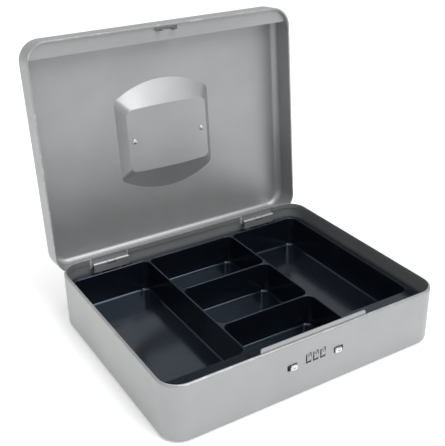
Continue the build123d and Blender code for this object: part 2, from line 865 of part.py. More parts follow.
def tray_rim():
    """The tray's flat rim, notched round the hinges and the lock case."""
    half = tray_half_length
    outline = rounded_face(
        -half, half, tray_front_y, tray_rear_y, tray_top - tray_wall, tray_corner_radius
    )
    rim = extrude(outline, tray_wall)
    lock_half = case_half_width + case_ear + tray_case_side_gap
    rim -= block(-lock_half, lock_half, front_y, case_back_y + tray_lock_gap, 0, rim_z)
    notch_half = hinge_width / 2 + notch_side_gap
    notch_y = bay_rear_y + tray_wall
    for side in (-1, 1):
        x = side * hinge_centre_x
        rim -= block(x - notch_half, x + notch_half, notch_y, rear_y, 0, rim_z)
    return rim


def tray_cell(rim, mouth, insets, shared):
    """One compartment's share of the moulding: its part of the rim and its cup."""
    half = divider_thickness / 2
    x0, x1, y0, y1 = mouth
    left = x0 - half if shared[0] else -box_length
    right = x1 + half if shared[1] else box_length
    near = y0 - half if shared[2] else front_y
    far = y1 + half if shared[3] else ledge_front_y()
    cell = rim & block(left, right, near, far, 0, rim_z)
    cell += bay_outside(mouth, insets, shared)
    return cell - bay_inside(mouth, insets)


def tray_foot(x, y):
    """A short round foot under a bill bay."""
    return rod_z(x, y, sheet, tray_floor_height + tray_wall / 2, tray_foot_radius)


def tray_parts():
    """The one-piece tray as touching solids: a cup for each compartment, and its rear ledge."""
    rim = tray_rim()
    parts = {name: tray_cell(rim, *bay) for name, bay in tray_bays().items()}
    x = tray_half_length - tray_foot_inset
    foot_front = tray_front_y + bill_bay_front_ledge + tray_foot_inset
    foot_rear = bay_rear_y - tray_foot_inset
    for foot_y in (foot_front, foot_rear):
        parts["tray_bill_bay_left"] += tray_foot(-x, foot_y)
        parts["tray_bill_bay_right"] += tray_foot(x, foot_y)
    parts["tray_rear_ledge"] = rim & block(
        -box_length, box_length, ledge_front_y(), rear_y, 0, rim_z
    )
    return parts


# ---- write every node ----------------------------------------------------
os.makedirs("parts", exist_ok=True)

save("body_shell", body_shell())
save("lock_guard_plate", lock_guard())
save("lock_case", lock_case())
save("lock_case_rivets", *case_rivets())
save("dial_shaft", dial_shaft())
save("dial_detent_spring", detent_spring())
for name, x in zip(dial_names, dial_xs):
    save(f"number_dial_{name}", number_dial(x))
    save(f"dial_hub_{name}", dial_hub(x))
for name, solid in pair(latch_slide):
    save(f"latch_slide_{name}", solid)
for name, solid in pair(latch_button):
    save(f"latch_button_{name}", solid)
for name, solid in pair(latch_spring):
    save(f"latch_spring_{name}", solid)
for name, solid in pair(hinge_bracket):
    save(f"hinge_bracket_{name}", solid)
for name, solid in pair(hinge_pin):
    save(f"hinge_pin_{name}", solid)
save("hinge_bracket_rivets", *hinge_rivets(bracket_rivet_z()))
for name, solid in tray_parts().items():
    save(name, *solid.solids())

save("lid_shell", opened(lid_shell()))
save("strike_angle", opened(strike_angle()))
for name, solid in pair(lid_leaf):
    save(f"hinge_leaf_{name}", opened(solid))
save("hinge_leaf_rivets", *[opened(r) for r in hinge_rivets(leaf_rivet_z())])
for name, solid in pair(handle_bracket):
    save(f"handle_bracket_{name}", opened(solid))
save("handle_rivets", *[opened(r) for r in handle_rivets()])
bail_axis = Axis((0, 0, handle_z), (1, 0, 0))
save("handle_bail", opened(handle_bail().rotate(bail_axis, lean_angle)))
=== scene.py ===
"""Cash box: painted steel body and lid, moulded coin tray, hinges, number lock and carrying handle.

Sizes are in millimetres in the part's own frame, +Z up and -Y out of the front.
Lid pieces are shaped with the lid closed and then swung open about the hinge pins.
"""

import json
import logging
import math
from dataclasses import dataclass
from enum import Enum
from typing import Any, Callable, Iterable, Sequence

import bmesh
import bpy
from mathutils import Matrix, Vector

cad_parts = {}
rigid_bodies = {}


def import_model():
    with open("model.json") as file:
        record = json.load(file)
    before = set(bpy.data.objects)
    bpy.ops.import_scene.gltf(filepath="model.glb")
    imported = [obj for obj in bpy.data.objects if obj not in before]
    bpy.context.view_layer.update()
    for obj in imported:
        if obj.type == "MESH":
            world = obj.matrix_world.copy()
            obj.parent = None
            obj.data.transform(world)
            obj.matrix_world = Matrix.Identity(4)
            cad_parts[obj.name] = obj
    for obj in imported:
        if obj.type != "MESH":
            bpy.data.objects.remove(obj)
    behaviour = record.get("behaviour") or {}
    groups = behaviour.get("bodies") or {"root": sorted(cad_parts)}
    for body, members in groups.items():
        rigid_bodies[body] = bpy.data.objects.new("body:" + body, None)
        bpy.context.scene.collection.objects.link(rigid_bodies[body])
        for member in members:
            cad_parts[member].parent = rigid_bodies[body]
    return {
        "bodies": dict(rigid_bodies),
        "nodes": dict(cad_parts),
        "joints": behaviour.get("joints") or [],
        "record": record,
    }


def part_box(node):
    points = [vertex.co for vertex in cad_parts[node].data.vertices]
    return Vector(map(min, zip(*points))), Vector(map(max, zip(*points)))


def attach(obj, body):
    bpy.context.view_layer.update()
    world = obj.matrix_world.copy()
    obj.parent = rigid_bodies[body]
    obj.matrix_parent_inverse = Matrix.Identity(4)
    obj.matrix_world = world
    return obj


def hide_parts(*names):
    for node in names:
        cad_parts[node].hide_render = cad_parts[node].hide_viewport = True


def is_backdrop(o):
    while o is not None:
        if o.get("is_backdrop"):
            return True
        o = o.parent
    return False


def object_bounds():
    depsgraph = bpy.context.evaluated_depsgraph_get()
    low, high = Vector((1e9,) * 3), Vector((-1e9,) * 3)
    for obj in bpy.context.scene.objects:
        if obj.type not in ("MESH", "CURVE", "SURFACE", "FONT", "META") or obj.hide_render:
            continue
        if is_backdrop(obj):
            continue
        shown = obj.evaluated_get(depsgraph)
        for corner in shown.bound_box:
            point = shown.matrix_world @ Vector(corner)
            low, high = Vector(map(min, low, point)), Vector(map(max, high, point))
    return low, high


MM = 0.001
SHEET = 1.2
WELD_PLATE = 1.0
RIM_GAP = 0.4
LID_HEIGHT = 30.0
RECESS_DEPTH = 10.0
KNUCKLE_RADIUS = 2.0
HINGE_RIVET_HALF = 12.0
RIVET_SIZES = {"Head radius": 2.8, "Head height": 1.3, "Shank radius": 1.5}
OVER = 1.0
log = logging.getLogger("cash_box")

Ring = list[Vector]
Pair = tuple[float, float]
Colour = tuple[float, float, float]


# ---------------------------------------------------------------- shader graph
class Value:
    """A node's output socket that takes part in arithmetic."""

    def __init__(self, graph: "Graph", socket: bpy.types.NodeSocket | None) -> None:
        """Remember the graph that new Math nodes go into, and the socket, if the node has one."""
        self.graph = graph
        self.socket = socket

    def _math(self, operation: str, first: Any, second: Any) -> "Value":
        """One Math node on two values, each a Value or a number."""
        return self.graph.node("ShaderNodeMath", {"operation": operation}, {0: first, 1: second})

    def __add__(self, other: Any) -> "Value":
        """self + other."""
        return self._math("ADD", self, other)

    __radd__ = __add__

    def __sub__(self, other: Any) -> "Value":
        """self - other."""
        return self._math("SUBTRACT", self, other)

    def __rsub__(self, other: Any) -> "Value":
        """other - self."""
        return self._math("SUBTRACT", other, self)

    def __mul__(self, other: Any) -> "Value":
        """self * other."""
        return self._math("MULTIPLY", self, other)

    __rmul__ = __mul__

    def __truediv__(self, other: Any) -> "Value":
        """self / other."""
        return self._math("DIVIDE", self, other)

    def __abs__(self) -> "Value":
        """The value without its sign."""
        return self._math("ABSOLUTE", self, 0.0)


class Graph:
    """A material's node tree, built from expressions."""

    def __init__(self, name: str) -> None:
        """Start an empty material.

        Args:
            name: the material's name.
        """
        self.material = bpy.data.materials.new(name)
        self.material.use_nodes = True
        self.tree = self.material.node_tree
        self.tree.nodes.clear()

    def node(
        self,
        kind: str,
        settings: dict[str, Any] | None = None,
        inputs: dict[int | str, Any] | None = None,
        out: int | str = 0,
    ) -> Value:
        """Add one node.

        Args:
            kind: the node's type.
            settings: attributes such as an operation, set first.
            inputs: a Value to link or a constant, by socket name or number.
            out: the output socket to return.

        Returns:
            The chosen output as a Value.
        """
        made = self.tree.nodes.new(kind)
        for key, value in (settings or {}).items():
            setattr(made, key, value)
        for key, value in (inputs or {}).items():
            if isinstance(value, Value):
                self.tree.links.new(value.socket, made.inputs[key])
            else:
                made.inputs[key].default_value = value
        return Value(self, made.outputs[out] if len(made.outputs) else None)

    def place(self) -> Value:
        """The surface point in the part's own frame, in metres."""
        return self.node("ShaderNodeTexCoord", out="Object")

    def noise(self, grain_mm: float, detail: float = 3.0, vector: Value | None = None) -> Value:
        """Noise between 0 and 1.

        Args:
            grain_mm: size of one patch in millimetres.
            detail: octaves of finer noise.
            vector: where to read it, or the surface point.

        Returns:
            The noise value.
        """
        where = vector or self.place()
        scale = 1.0 / (grain_mm * MM)
        return self.node("ShaderNodeTexNoise", {}, {"Vector": where, "Scale": scale, "Detail": detail})

    def stretch(self, value: Value, low: float, high: float) -> Value:
        """Map low..high to 0..1, held at both ends."""
        return self.node("ShaderNodeMapRange", {"clamp": True}, {0: value, 1: low, 2: high})

    def blend(self, factor: Value, first: Any, second: Any) -> Value:
        """Mix two colours, each a colour or a Value."""
        sides = [c if isinstance(c, Value) else (*c, 1.0) for c in (first, second)]
        settings = {"data_type": "RGBA", "clamp_factor": True}
        return self.node("ShaderNodeMix", settings, {0: factor, 6: sides[0], 7: sides[1]}, out=2)

    def bump(self, height: Value, depth_mm: float, strength: float = 1.0) -> Value:
        """Surface relief.

        Args:
            height: relief between 0 and 1.
            depth_mm: its full depth in millimetres.
            strength: how much of it shows.

        Returns:
            The bent normal.
        """
        inputs = {"Strength": strength, "Distance": depth_mm * MM, "Height": height}
        return self.node("ShaderNodeBump", {}, inputs)

    def surface(self, **sockets: Any) -> bpy.types.Material:
        """Finish the material with one Principled shader.

        Args:
            sockets: constants or Values, by socket name with underscores for spaces.

        Returns:
            The material.
        """
        named = {key.replace("_", " "): value for key, value in sockets.items()}
        for key, value in named.items():
            if isinstance(value, tuple) and len(value) == 3:
                named[key] = (*value, 1.0)
        shader = self.node("ShaderNodeBsdfPrincipled", {}, named)
        self.node("ShaderNodeOutputMaterial", {}, {"Surface": shader})
        self.tree.nodes[-1].is_active_output = True
        return self.material


# ---------------------------------------------------------------- finishes
@dataclass(frozen=True)
class PaintedSteel:
    """Silver-grey metallic paint over sheet steel, lighter along its rims: partly edge wear, partly a painted
    rim highlight.
    """

    name: str = "silver_paint"
    tone: Colour = (0.315, 0.318, 0.322)
    light_tone: Colour = (0.37, 0.373, 0.378)
    # Colour of the bright rim bands: edge wear and a painted rim highlight.
    worn: Colour = (0.62, 0.62, 0.63)
    metallic: float = 0.62
    roughness: float = 0.40
    rims: tuple[Pair, ...] = ()
    turn: float = 0.0
    pivot: Pair = (0.0, 0.0)

    def rim_wear(self, graph: Graph) -> Value:
        """Thin bright bands at the heights in rims, broken up by noise: partly edge wear, partly a painted
        rim highlight.
        """
        where = graph.place()
        centre = (0.0, self.pivot[0] * MM, self.pivot[1] * MM)
        closed = graph.node(
            "ShaderNodeVectorRotate",
            {"rotation_type": "X_AXIS"},
            {"Vector": where, "Center": centre, "Angle": self.turn},
        )
        height = graph.node("ShaderNodeSeparateXYZ", {}, {0: closed}, out=2)
        worn = 0.0
        for level, width in self.rims:
            near = 1.0 - abs(height - level * MM) / (width * MM)
            worn = graph.stretch(near, 0.0, 1.0) + worn
        patches = graph.stretch(graph.noise(9.0, 4.0), 0.52, 0.72)
        return worn * patches if self.rims else patches * 0.0

    def material(self) -> bpy.types.Material:
        """Build the finish."""
        graph = Graph(self.name)
        cloud = graph.noise(55.0, 2.0)
        flake = graph.noise(0.5, 1.0)
        peel = graph.noise(1.6, 2.0)
        tone = graph.stretch(cloud * 0.55 + flake * 0.45, 0.3, 0.7)
        wear_and_highlight = self.rim_wear(graph)
        # Lightened along the rims: edge wear and a painted highlight on the rim edges.
        colour = graph.blend(wear_and_highlight * 0.5, graph.blend(tone, self.tone, self.light_tone), self.worn)
        handled = graph.stretch(graph.noise(30.0, 4.0), 0.45, 0.75)
        rough = self.roughness + (peel - 0.5) * 0.10 + handled * 0.05 - wear_and_highlight * 0.08
        relief = peel * 0.7 + flake * 0.3
        return graph.surface(
            Base_Color=colour,
            Metallic=self.metallic,
            Roughness=rough,
            Normal=graph.bump(relief, 0.02, 0.35),
            Coat_Weight=0.12,
            Coat_Roughness=0.25,
        )


@dataclass(frozen=True)
class MouldedPlastic:
    """Glossy black styrene with a little mould flow, scuffs and dust, and a painted blue tint in its
    reflections.
    """

    name: str = "black_styrene"
    tone: Colour = (0.0035, 0.0045, 0.0075)
    dusty: Colour = (0.012, 0.015, 0.020)
    # Painted blue reflection: a tint laid on every reflection, standing in for bluish light round the box.
    sheen: Colour = (0.62, 0.80, 1.0)
    roughness: float = 0.11

    def material(self) -> bpy.types.Material:
        """Build the finish."""
        graph = Graph(self.name)
        where = graph.place()
        flow = graph.noise(26.0, 3.0)
        grain = graph.noise(0.7, 2.0)
        along = graph.node(
            "ShaderNodeMapping", {}, {"Vector": where, "Scale": (0.12, 1.0, 1.0), "Rotation": (0.0, 0.0, 0.5)}
        )
        scuff = graph.stretch(graph.noise(1.3, 4.0, along), 0.60, 0.74)
        patch = graph.stretch(graph.noise(34.0, 2.0), 0.46, 0.66)
        scuffed = scuff * patch
        dust = graph.stretch(graph.noise(0.9, 3.0), 0.60, 0.80) * 0.5
        colour = graph.blend(scuffed * 0.5 + dust, self.tone, self.dusty)
        rough = self.roughness + flow * 0.07 + scuffed * 0.16 + dust * 0.08
        relief = flow * 0.8 + grain * 0.05
        return graph.surface(
            Base_Color=colour,
            Roughness=rough,
            Normal=graph.bump(relief, 0.35, 0.35),
            Specular_IOR_Level=0.62,
            # Specular tint: painted blue reflection, not a colour of the plastic itself.
            Specular_Tint=self.sheen,
        )


@dataclass(frozen=True)
class BareMetal:
    """A metal surface: plating, spring steel or chrome, with fine brushing and stains."""

    name: str
    tone: Colour
    stain: Colour
    roughness: float
    spread: float = 0.10
    brush_mm: float = 0.35
    brush_ratio: float = 0.06
    depth_mm: float = 0.006

    def material(self) -> bpy.types.Material:
        """Build the finish."""
        graph = Graph(self.name)
        where = graph.place()
        along = graph.node(
            "ShaderNodeMapping", {}, {"Vector": where, "Scale": (self.brush_ratio, 1.0, 1.0)}
        )
        brushed = graph.noise(self.brush_mm, 2.0, along)
        stain = graph.stretch(graph.noise(6.0, 4.0), 0.42, 0.72)
        spot = graph.stretch(graph.noise(1.1, 2.0), 0.58, 0.70)
        colour = graph.blend(stain * 0.7 + spot * 0.25, self.tone, self.stain)
        rough = self.roughness + (brushed - 0.5) * self.spread + stain * self.spread
        return graph.surface(
            Base_Color=colour,
            Metallic=1.0,
            Roughness=rough,
            Normal=graph.bump(brushed, self.depth_mm, 0.5),
        )


@dataclass(frozen=True)
class DialInk:
    """Flat black fill of the dial numbers, rubbed thin in places."""

    name: str = "dial_ink"
    tone: Colour = (0.012, 0.012, 0.013)
    rubbed: Colour = (0.10, 0.10, 0.10)

    def material(self) -> bpy.types.Material:
        """Build the finish."""
        graph = Graph(self.name)
        rub = graph.stretch(graph.noise(0.8, 3.0), 0.55, 0.75)
        return graph.surface(
            Base_Color=graph.blend(rub, self.tone, self.rubbed),
            Roughness=0.55 + rub * 0.15,
            Normal=graph.bump(graph.noise(0.15), 0.01, 0.4),
        )


@dataclass(frozen=True)
class Backdrop:
    """Plain pale studio floor."""

    name: str = "pale_floor"
    tone: Colour = (0.97, 0.97, 0.97)
    glow: float = 0.22

    def material(self) -> bpy.types.Material:
        """Build the finish."""
        graph = Graph(self.name)
        rough = 0.85 + graph.noise(120.0) * 0.1
        return graph.surface(
            Base_Color=self.tone,
            Roughness=rough,
            Specular_IOR_Level=0.1,
            Emission_Color=self.tone,
            Emission_Strength=self.glow,
        )


# ---------------------------------------------------------------- rings and lofts
@dataclass(frozen=True)
class Steps:
    """Point counts that every ring shares, so that any two can be joined."""

    corner: int = 14
    side: int = 8
    front: int = 14


STEPS = Steps()


def arc(centre: Pair, radius: float, start: float, end: float, steps: int) -> list[Pair]:
    """Points along an arc, both ends included, angles in radians."""
    turns = [start + (end - start) * i / steps for i in range(steps + 1)]
    return [(centre[0] + radius * math.cos(a), centre[1] + radius * math.sin(a)) for a in turns]


def between(first: Pair, last: Pair, steps: int) -> list[Pair]:
    """Points strictly between two points on a straight line."""
    return [
        tuple(a + (b - a) * i / steps for a, b in zip(first, last)) for i in range(1, steps)
    ]


@dataclass(frozen=True)
class Plan:
    """A rounded rectangle in plan."""

    half_x: float
    half_y: float
    corner: float
    centre: Pair = (0.0, 0.0)
    least_corner: float = 0.6

    def ring(self, inset: float, z: float) -> Ring:
        """The outline set in by inset, at one height.

        Args:
            inset: distance inwards, or outwards if negative.
            z: height.

        Returns:
            The ring, counter-clockwise from the front right corner.
        """
        hx, hy = self.half_x - inset, self.half_y - inset
        radius = max(self.corner - inset, self.least_corner)
        cx, cy = hx - radius, hy - radius
        quarter = math.pi / 2
        points: list[Pair] = []
        corners = [(cx, -cy), (cx, cy), (-cx, cy), (-cx, -cy)]
        bends = [arc(c, radius, quarter * (k - 1), quarter * k, STEPS.corner) for k, c in enumerate(corners)]
        for k, bend in enumerate(bends):
            steps = STEPS.side if k % 2 == 0 else STEPS.front
            points += bend + between(bend[-1], bends[(k + 1) % 4][0], steps)
        return [Vector((x + self.centre[0], y + self.centre[1], z)) for x, y in points]


@dataclass(frozen=True)
class Arch:
    """A rectangle whose front and rear sides bow outwards, with rounded corners."""

    half_x: float
    side_half: float
    apex: float
    corner: float

    def ring(self, inset: float, z: float) -> Ring:
        """The outline set in by inset, at one height, in step with Plan.ring."""
        half, side, apex = self.half_x - inset, self.side_half - inset, self.apex - inset
        radius = max(self.corner - inset, 1.0)
        rise = apex - side
        bow = (half**2 + rise**2) / (2 * rise)
        low = bow - apex
        cx = half - radius
        cy = low - math.sqrt((bow - radius) ** 2 - cx**2)
        lean = math.atan2(cy - low, cx)
        right = arc((cx, cy), radius, lean, 0.0, STEPS.corner)
        right += between(right[-1], (half, -cy), STEPS.side)
        right += arc((cx, -cy), radius, 0.0, -lean, STEPS.corner)
        rear = arc((0.0, -low), bow, -lean, math.pi + lean, STEPS.front)[1:-1]
        half_turn = right + rear
        return [Vector((x, y, z)) for x, y in half_turn + [(-x, -y) for x, y in half_turn]]


@dataclass(frozen=True)
class Row:
    """One control row of a loft, and the radius that rounds the surface there."""

    ring: Ring
    radius: float = 0.0
    steps: int = 6


def rounded(before: Vector, corner: Vector, after: Vector, radius: float, steps: int) -> list[Vector]:
    """Replace a corner by an arc that meets both of its sides.

    Args:
        before: the point before the corner.
        corner: the corner.
        after: the point after it.
        radius: the arc's radius.
        steps: segments in the arc.

    Returns:
        The arc's points.
    """
    back, on = before - corner, after - corner
    opening = back.angle(on, math.pi)
    if radius <= 0 or opening > math.pi - 0.01:
        return [corner.copy() for _ in range(steps + 1)]
    reach = min(radius / math.tan(opening / 2), 0.97 * back.length, 0.97 * on.length)
    back_unit, on_unit = back.normalized(), on.normalized()
    true_radius = reach * math.tan(opening / 2)
    centre = corner + (back_unit + on_unit).normalized() * true_radius / math.sin(opening / 2)
    start, end = corner + back_unit * reach - centre, corner + on_unit * reach - centre
    turn = math.pi - opening
    points = []
    for i in range(steps + 1):
        share = i / steps
        mixed = start * math.sin((1 - share) * turn) + end * math.sin(share * turn)
        points.append(centre + mixed / math.sin(turn))
    return points


def loft(rows: Sequence[Row], closed: bool = False) -> tuple[list[Vector], list[list[int]]]:
    """Join rows of equal point counts into one closed skin.

    Args:
        rows: the control rows in order.
        closed: join the last row to the first, instead of capping both.

    Returns:
        The skin's points and faces.
    """
    rings: list[Ring] = []
    count = len(rows[0].ring)
    for i, row in enumerate(rows):
        inner = closed or 0 < i < len(rows) - 1
        if not inner or row.radius <= 0:
            rings.append(row.ring)
            continue
        before, after = rows[i - 1].ring, rows[(i + 1) % len(rows)].ring
        columns = [
            rounded(before[k], row.ring[k], after[k], row.radius, row.steps) for k in range(count)
        ]
        rings += [list(ring) for ring in zip(*columns)]
    points = [p for ring in rings for p in ring]
    faces = []
    for r in range(len(rings) if closed else len(rings) - 1):
        a, b = r * count, (r + 1) % len(rings) * count
        for k in range(count):
            n = (k + 1) % count
            faces.append([a + k, a + n, b + n, b + k])
    if not closed:
        faces.append(list(range(count))[::-1])
        faces.append([(len(rings) - 1) * count + k for k in range(count)])
    return points, faces


def circle(centre: Vector, radius: float, across: Vector, up: Vector, count: int = 32) -> Ring:
    """A ring of points round a centre, in the plane of two unit vectors."""
    turns = [2 * math.pi * k / count for k in range(count)]
    return [centre + across * (radius * math.cos(a)) + up * (radius * math.sin(a)) for a in turns]


# ---------------------------------------------------------------- solids
class Fuse(Enum):
    """How one solid is combined with another."""

    JOIN = "UNION"
    CUT = "DIFFERENCE"


def drop(obj: bpy.types.Object) -> None:
    """Remove an object and its mesh."""
    mesh = obj.data
    bpy.data.objects.remove(obj)
    bpy.data.meshes.remove(mesh)


class Solid:
    """A closed mesh under construction, in millimetres until it is finished."""

    def __init__(self, points: Iterable[Vector], faces: Sequence[Sequence[int]]) -> None:
        """Make the mesh with its faces turned outwards.

        Args:
            points: corner points in millimetres.
            faces: point numbers of each face.
        """
        mesh = bpy.data.meshes.new("solid")
        mesh.from_pydata([tuple(p) for p in points], [], [list(f) for f in faces])
        self.obj = bpy.data.objects.new("solid", mesh)
        bpy.context.scene.collection.objects.link(self.obj)
        self.weld(1e-4)

    @classmethod
    def lofted(cls, rows: Sequence[Row], closed: bool = False) -> "Solid":
        """A solid lofted through control rows."""
        return cls(*loft(rows, closed))

    @classmethod
    def of_node(cls, node: bpy.types.Object) -> "Solid":
        """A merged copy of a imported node, in millimetres."""
        mesh = node.data
        points = [v.co / MM for v in mesh.vertices]
        made = cls(points, [list(p.vertices) for p in mesh.polygons])
        made.edit(lambda bm: bmesh.ops.remove_doubles(bm, verts=bm.verts, dist=2e-3))
        made.edit(
            lambda bm: bmesh.ops.dissolve_limit(
                bm, angle_limit=math.radians(0.6), verts=bm.verts, edges=bm.edges
            )
        )
        return made

    @classmethod
    def block(cls, low: Sequence[float], high: Sequence[float]) -> "Solid":
        """A plain block between two corners."""
        (x0, y0, z0), (x1, y1, z1) = low, high
        base = [(x0, y0), (x1, y0), (x1, y1), (x0, y1)]
        rings = [[Vector((x, y, z)) for x, y in base] for z in (z0, z1)]
        return cls.lofted([Row(ring) for ring in rings])

    @classmethod
    def rod(cls, start: Vector, end: Vector, radius: float, chamfer: float = 0.0, count: int = 40) -> "Solid":
        """A round bar between two points, with rounded rims.

        Args:
            start: centre of one end.
            end: centre of the other.
            radius: its radius.
            chamfer: how far each rim is rounded.
            count: points round it.

        Returns:
            The bar.
        """
        along = (end - start).normalized()
        across = along.orthogonal().normalized()
        up = along.cross(across)
        core = max(radius - chamfer * 2.5, radius * 0.3)
        rows = [
            Row(circle(start, core, across, up, count)),
            Row(circle(start, radius, across, up, count), chamfer, 3),
            Row(circle(end, radius, across, up, count), chamfer, 3),
            Row(circle(end, core, across, up, count)),
        ]
        return cls.lofted(rows)

    @classmethod
    def along_x(cls, section: Sequence[tuple[Pair, float]], x0: float, x1: float, steps: int = 4) -> "Solid":
        """A bent sheet section in Y and Z, drawn out along X.

        Args:
            section: each corner as (y, z) with its rounding radius.
            x0: one end.
            x1: the other end.
            steps: segments in each bend.

        Returns:
            The solid.
        """
        corners = [Vector((0.0, y, z)) for (y, z), _ in section]
        outline: list[Vector] = []
        for k, corner in enumerate(corners):
            radius = section[k][1]
            after = corners[(k + 1) % len(corners)]
            bend = rounded(corners[k - 1], corner, after, radius, steps if radius > 0 else 0)
            outline += bend if radius > 0 else [corner]
        rings = [[p + Vector((x, 0.0, 0.0)) for p in outline] for x in (x0, x1)]
        return cls.lofted([Row(ring) for ring in rings])

    def edit(self, change: Callable[[bmesh.types.BMesh], Any]) -> "Solid":
        """Run one change on the mesh's editable form."""
        bm = bmesh.new()
        bm.from_mesh(self.obj.data)
        change(bm)
        bm.to_mesh(self.obj.data)
        bm.free()
        return self

    def weld(self, distance: float) -> "Solid":
        """Merge points that coincide and turn every face outwards."""
        self.edit(lambda bm: bmesh.ops.remove_doubles(bm, verts=bm.verts, dist=distance))
        self.edit(lambda bm: bmesh.ops.dissolve_degenerate(bm, dist=distance / 2, edges=bm.edges))
        return self.edit(lambda bm: bmesh.ops.recalc_face_normals(bm, faces=bm.faces))

    def bake(self) -> "Solid":
        """Apply the live modifiers."""
        graph = bpy.context.evaluated_depsgraph_get()
        fresh = bpy.data.meshes.new_from_object(
            self.obj.evaluated_get(graph), preserve_all_data_layers=True, depsgraph=graph
        )
        self.obj.modifiers.clear()
        old = self.obj.data
        self.obj.data = fresh
        bpy.data.meshes.remove(old)
        return self

    def combine(self, other: "Solid", how: Fuse) -> "Solid":
        """Join or cut with another solid, which is used up."""
        modifier = self.obj.modifiers.new("combine", "BOOLEAN")
        modifier.operation = how.value
        modifier.solver = "EXACT"
        modifier.object = other.obj
        self.bake()
        drop(other.obj)
        return self

    def cut(self, *others: "Solid") -> "Solid":
        """Take other solids away."""
        for other in others:
            self.combine(other, Fuse.CUT)
        return self

    def join(self, *others: "Solid") -> "Solid":
        """Unite with other solids."""
        for other in others:
            self.combine(other, Fuse.JOIN)
        return self

    def beside(self, *others: "Solid") -> "Solid":
        """Hold other solids in the same piece without uniting them."""
        for other in others:
            bm = bmesh.new()
            bm.from_mesh(self.obj.data)
            bm.from_mesh(other.obj.data)
            bm.to_mesh(self.obj.data)
            bm.free()
            drop(other.obj)
        return self

    def soften(self, width: float, segments: int = 2, angle: float = 38.0) -> "Solid":
        """Round the edges that are sharper than an angle.

        Args:
            width: how far the rounding reaches from the edge.
            segments: steps across it.
            angle: edges that turn more than this, in degrees, are rounded.

        Returns:
            This solid.
        """
        modifier = self.obj.modifiers.new("soften", "BEVEL")
        modifier.width = width
        modifier.segments = segments
        modifier.limit_method = "ANGLE"
        modifier.angle_limit = math.radians(angle)
        modifier.use_clamp_overlap = True
        return self.bake()

    def turn(self, matrix: Matrix) -> "Solid":
        """Move the mesh by a matrix given in millimetres."""
        self.obj.data.transform(matrix)
        return self

    def finish(self, name: str, material: bpy.types.Material, sharp: float = 32.0) -> bpy.types.Object:
        """Turn the solid into a finished piece in metres.

        Args:
            name: the piece's name.
            material: its finish.
            sharp: edges that turn more than this, in degrees, stay crisp.

        Returns:
            The piece's object, at the origin.
        """
        self.obj.data.transform(Matrix.Scale(MM, 4))
        mesh = self.obj.data
        mesh.materials.clear()
        mesh.materials.append(material)
        mesh.polygons.foreach_set("material_index", [0] * len(mesh.polygons))
        mesh.polygons.foreach_set("use_smooth", [True] * len(mesh.polygons))
        mesh.set_sharp_from_angle(angle=math.radians(sharp))
        modifier = self.obj.modifiers.new("normals", "WEIGHTED_NORMAL")
        modifier.keep_sharp = True
        self.bake()
        self.obj.name = name
        self.obj.data.name = name
        return self.obj


# ---------------------------------------------------------------- geometry nodes
class NodeKit:
    """A Geometry Nodes tree with named number inputs."""

    def __init__(self, name: str) -> None:
        """Start a tree that takes and gives geometry.

        Args:
            name: the tree's name.
        """
        self.tree = bpy.data.node_groups.new(name, "GeometryNodeTree")
        face = self.tree.interface
        face.new_socket("Geometry", in_out="INPUT", socket_type="NodeSocketGeometry")
        face.new_socket("Geometry", in_out="OUTPUT", socket_type="NodeSocketGeometry")
        self.source = self.tree.nodes.new("NodeGroupInput")
        self.keys: dict[str, str] = {}

    def number(self, name: str) -> bpy.types.NodeSocket:
        """A named number input, in metres."""
        made = self.tree.interface.new_socket(name, in_out="INPUT", socket_type="NodeSocketFloat")
        self.keys[name] = made.identifier
        return self.source.outputs[name]

    def turn(self, name: str) -> bpy.types.NodeSocket:
        """A named rotation input."""
        made = self.tree.interface.new_socket(name, in_out="INPUT", socket_type="NodeSocketRotation")
        self.keys[name] = made.identifier
        return self.source.outputs[name]

    def add(
        self,
        kind: str,
        settings: dict[str, Any] | None = None,
        inputs: dict[int | str, Any] | None = None,
        out: int | str = 0,
    ) -> bpy.types.NodeSocket:
        """Add one node and return one of its outputs."""
        made = self.tree.nodes.new(kind)
        for key, value in (settings or {}).items():
            setattr(made, key, value)
        for key, value in (inputs or {}).items():
            sockets = value if isinstance(value, list) else [value]
            for one in sockets:
                if isinstance(one, bpy.types.NodeSocket):
                    self.tree.links.new(one, made.inputs[key])
                else:
                    made.inputs[key].default_value = one
        return made.outputs[out]

    def close(self, shape: bpy.types.NodeSocket, material: bpy.types.Material) -> None:
        """End the tree in Realize Instances and Set Material."""
        real = self.add("GeometryNodeRealizeInstances", {}, {"Geometry": shape})
        dressed = self.add("GeometryNodeSetMaterial", {}, {"Geometry": real, "Material": material})
        sink = self.tree.nodes.new("NodeGroupOutput")
        self.tree.links.new(dressed, sink.inputs[0])

    def grow(self, points: Sequence[Vector], values: dict[str, Any]) -> Solid:
        """Run the tree on loose points.

        Args:
            points: where things repeat, in millimetres.
            values: the named inputs' values.

        Returns:
            The resulting mesh as a solid, in millimetres.
        """
        mesh = bpy.data.meshes.new("points")
        mesh.from_pydata([tuple(p) for p in points], [], [])
        obj = bpy.data.objects.new("points", mesh)
        bpy.context.scene.collection.objects.link(obj)
        modifier = obj.modifiers.new("grow", "NODES")
        modifier.node_group = self.tree
        for name, value in values.items():
            modifier[self.keys[name]] = value
        graph = bpy.context.evaluated_depsgraph_get()
        result = bpy.data.meshes.new_from_object(obj.evaluated_get(graph), depsgraph=graph)
        obj.modifiers.clear()
        made = Solid([v.co.copy() for v in result.vertices], [list(p.vertices) for p in result.polygons])
        bpy.data.meshes.remove(result)
        drop(obj)
        return made


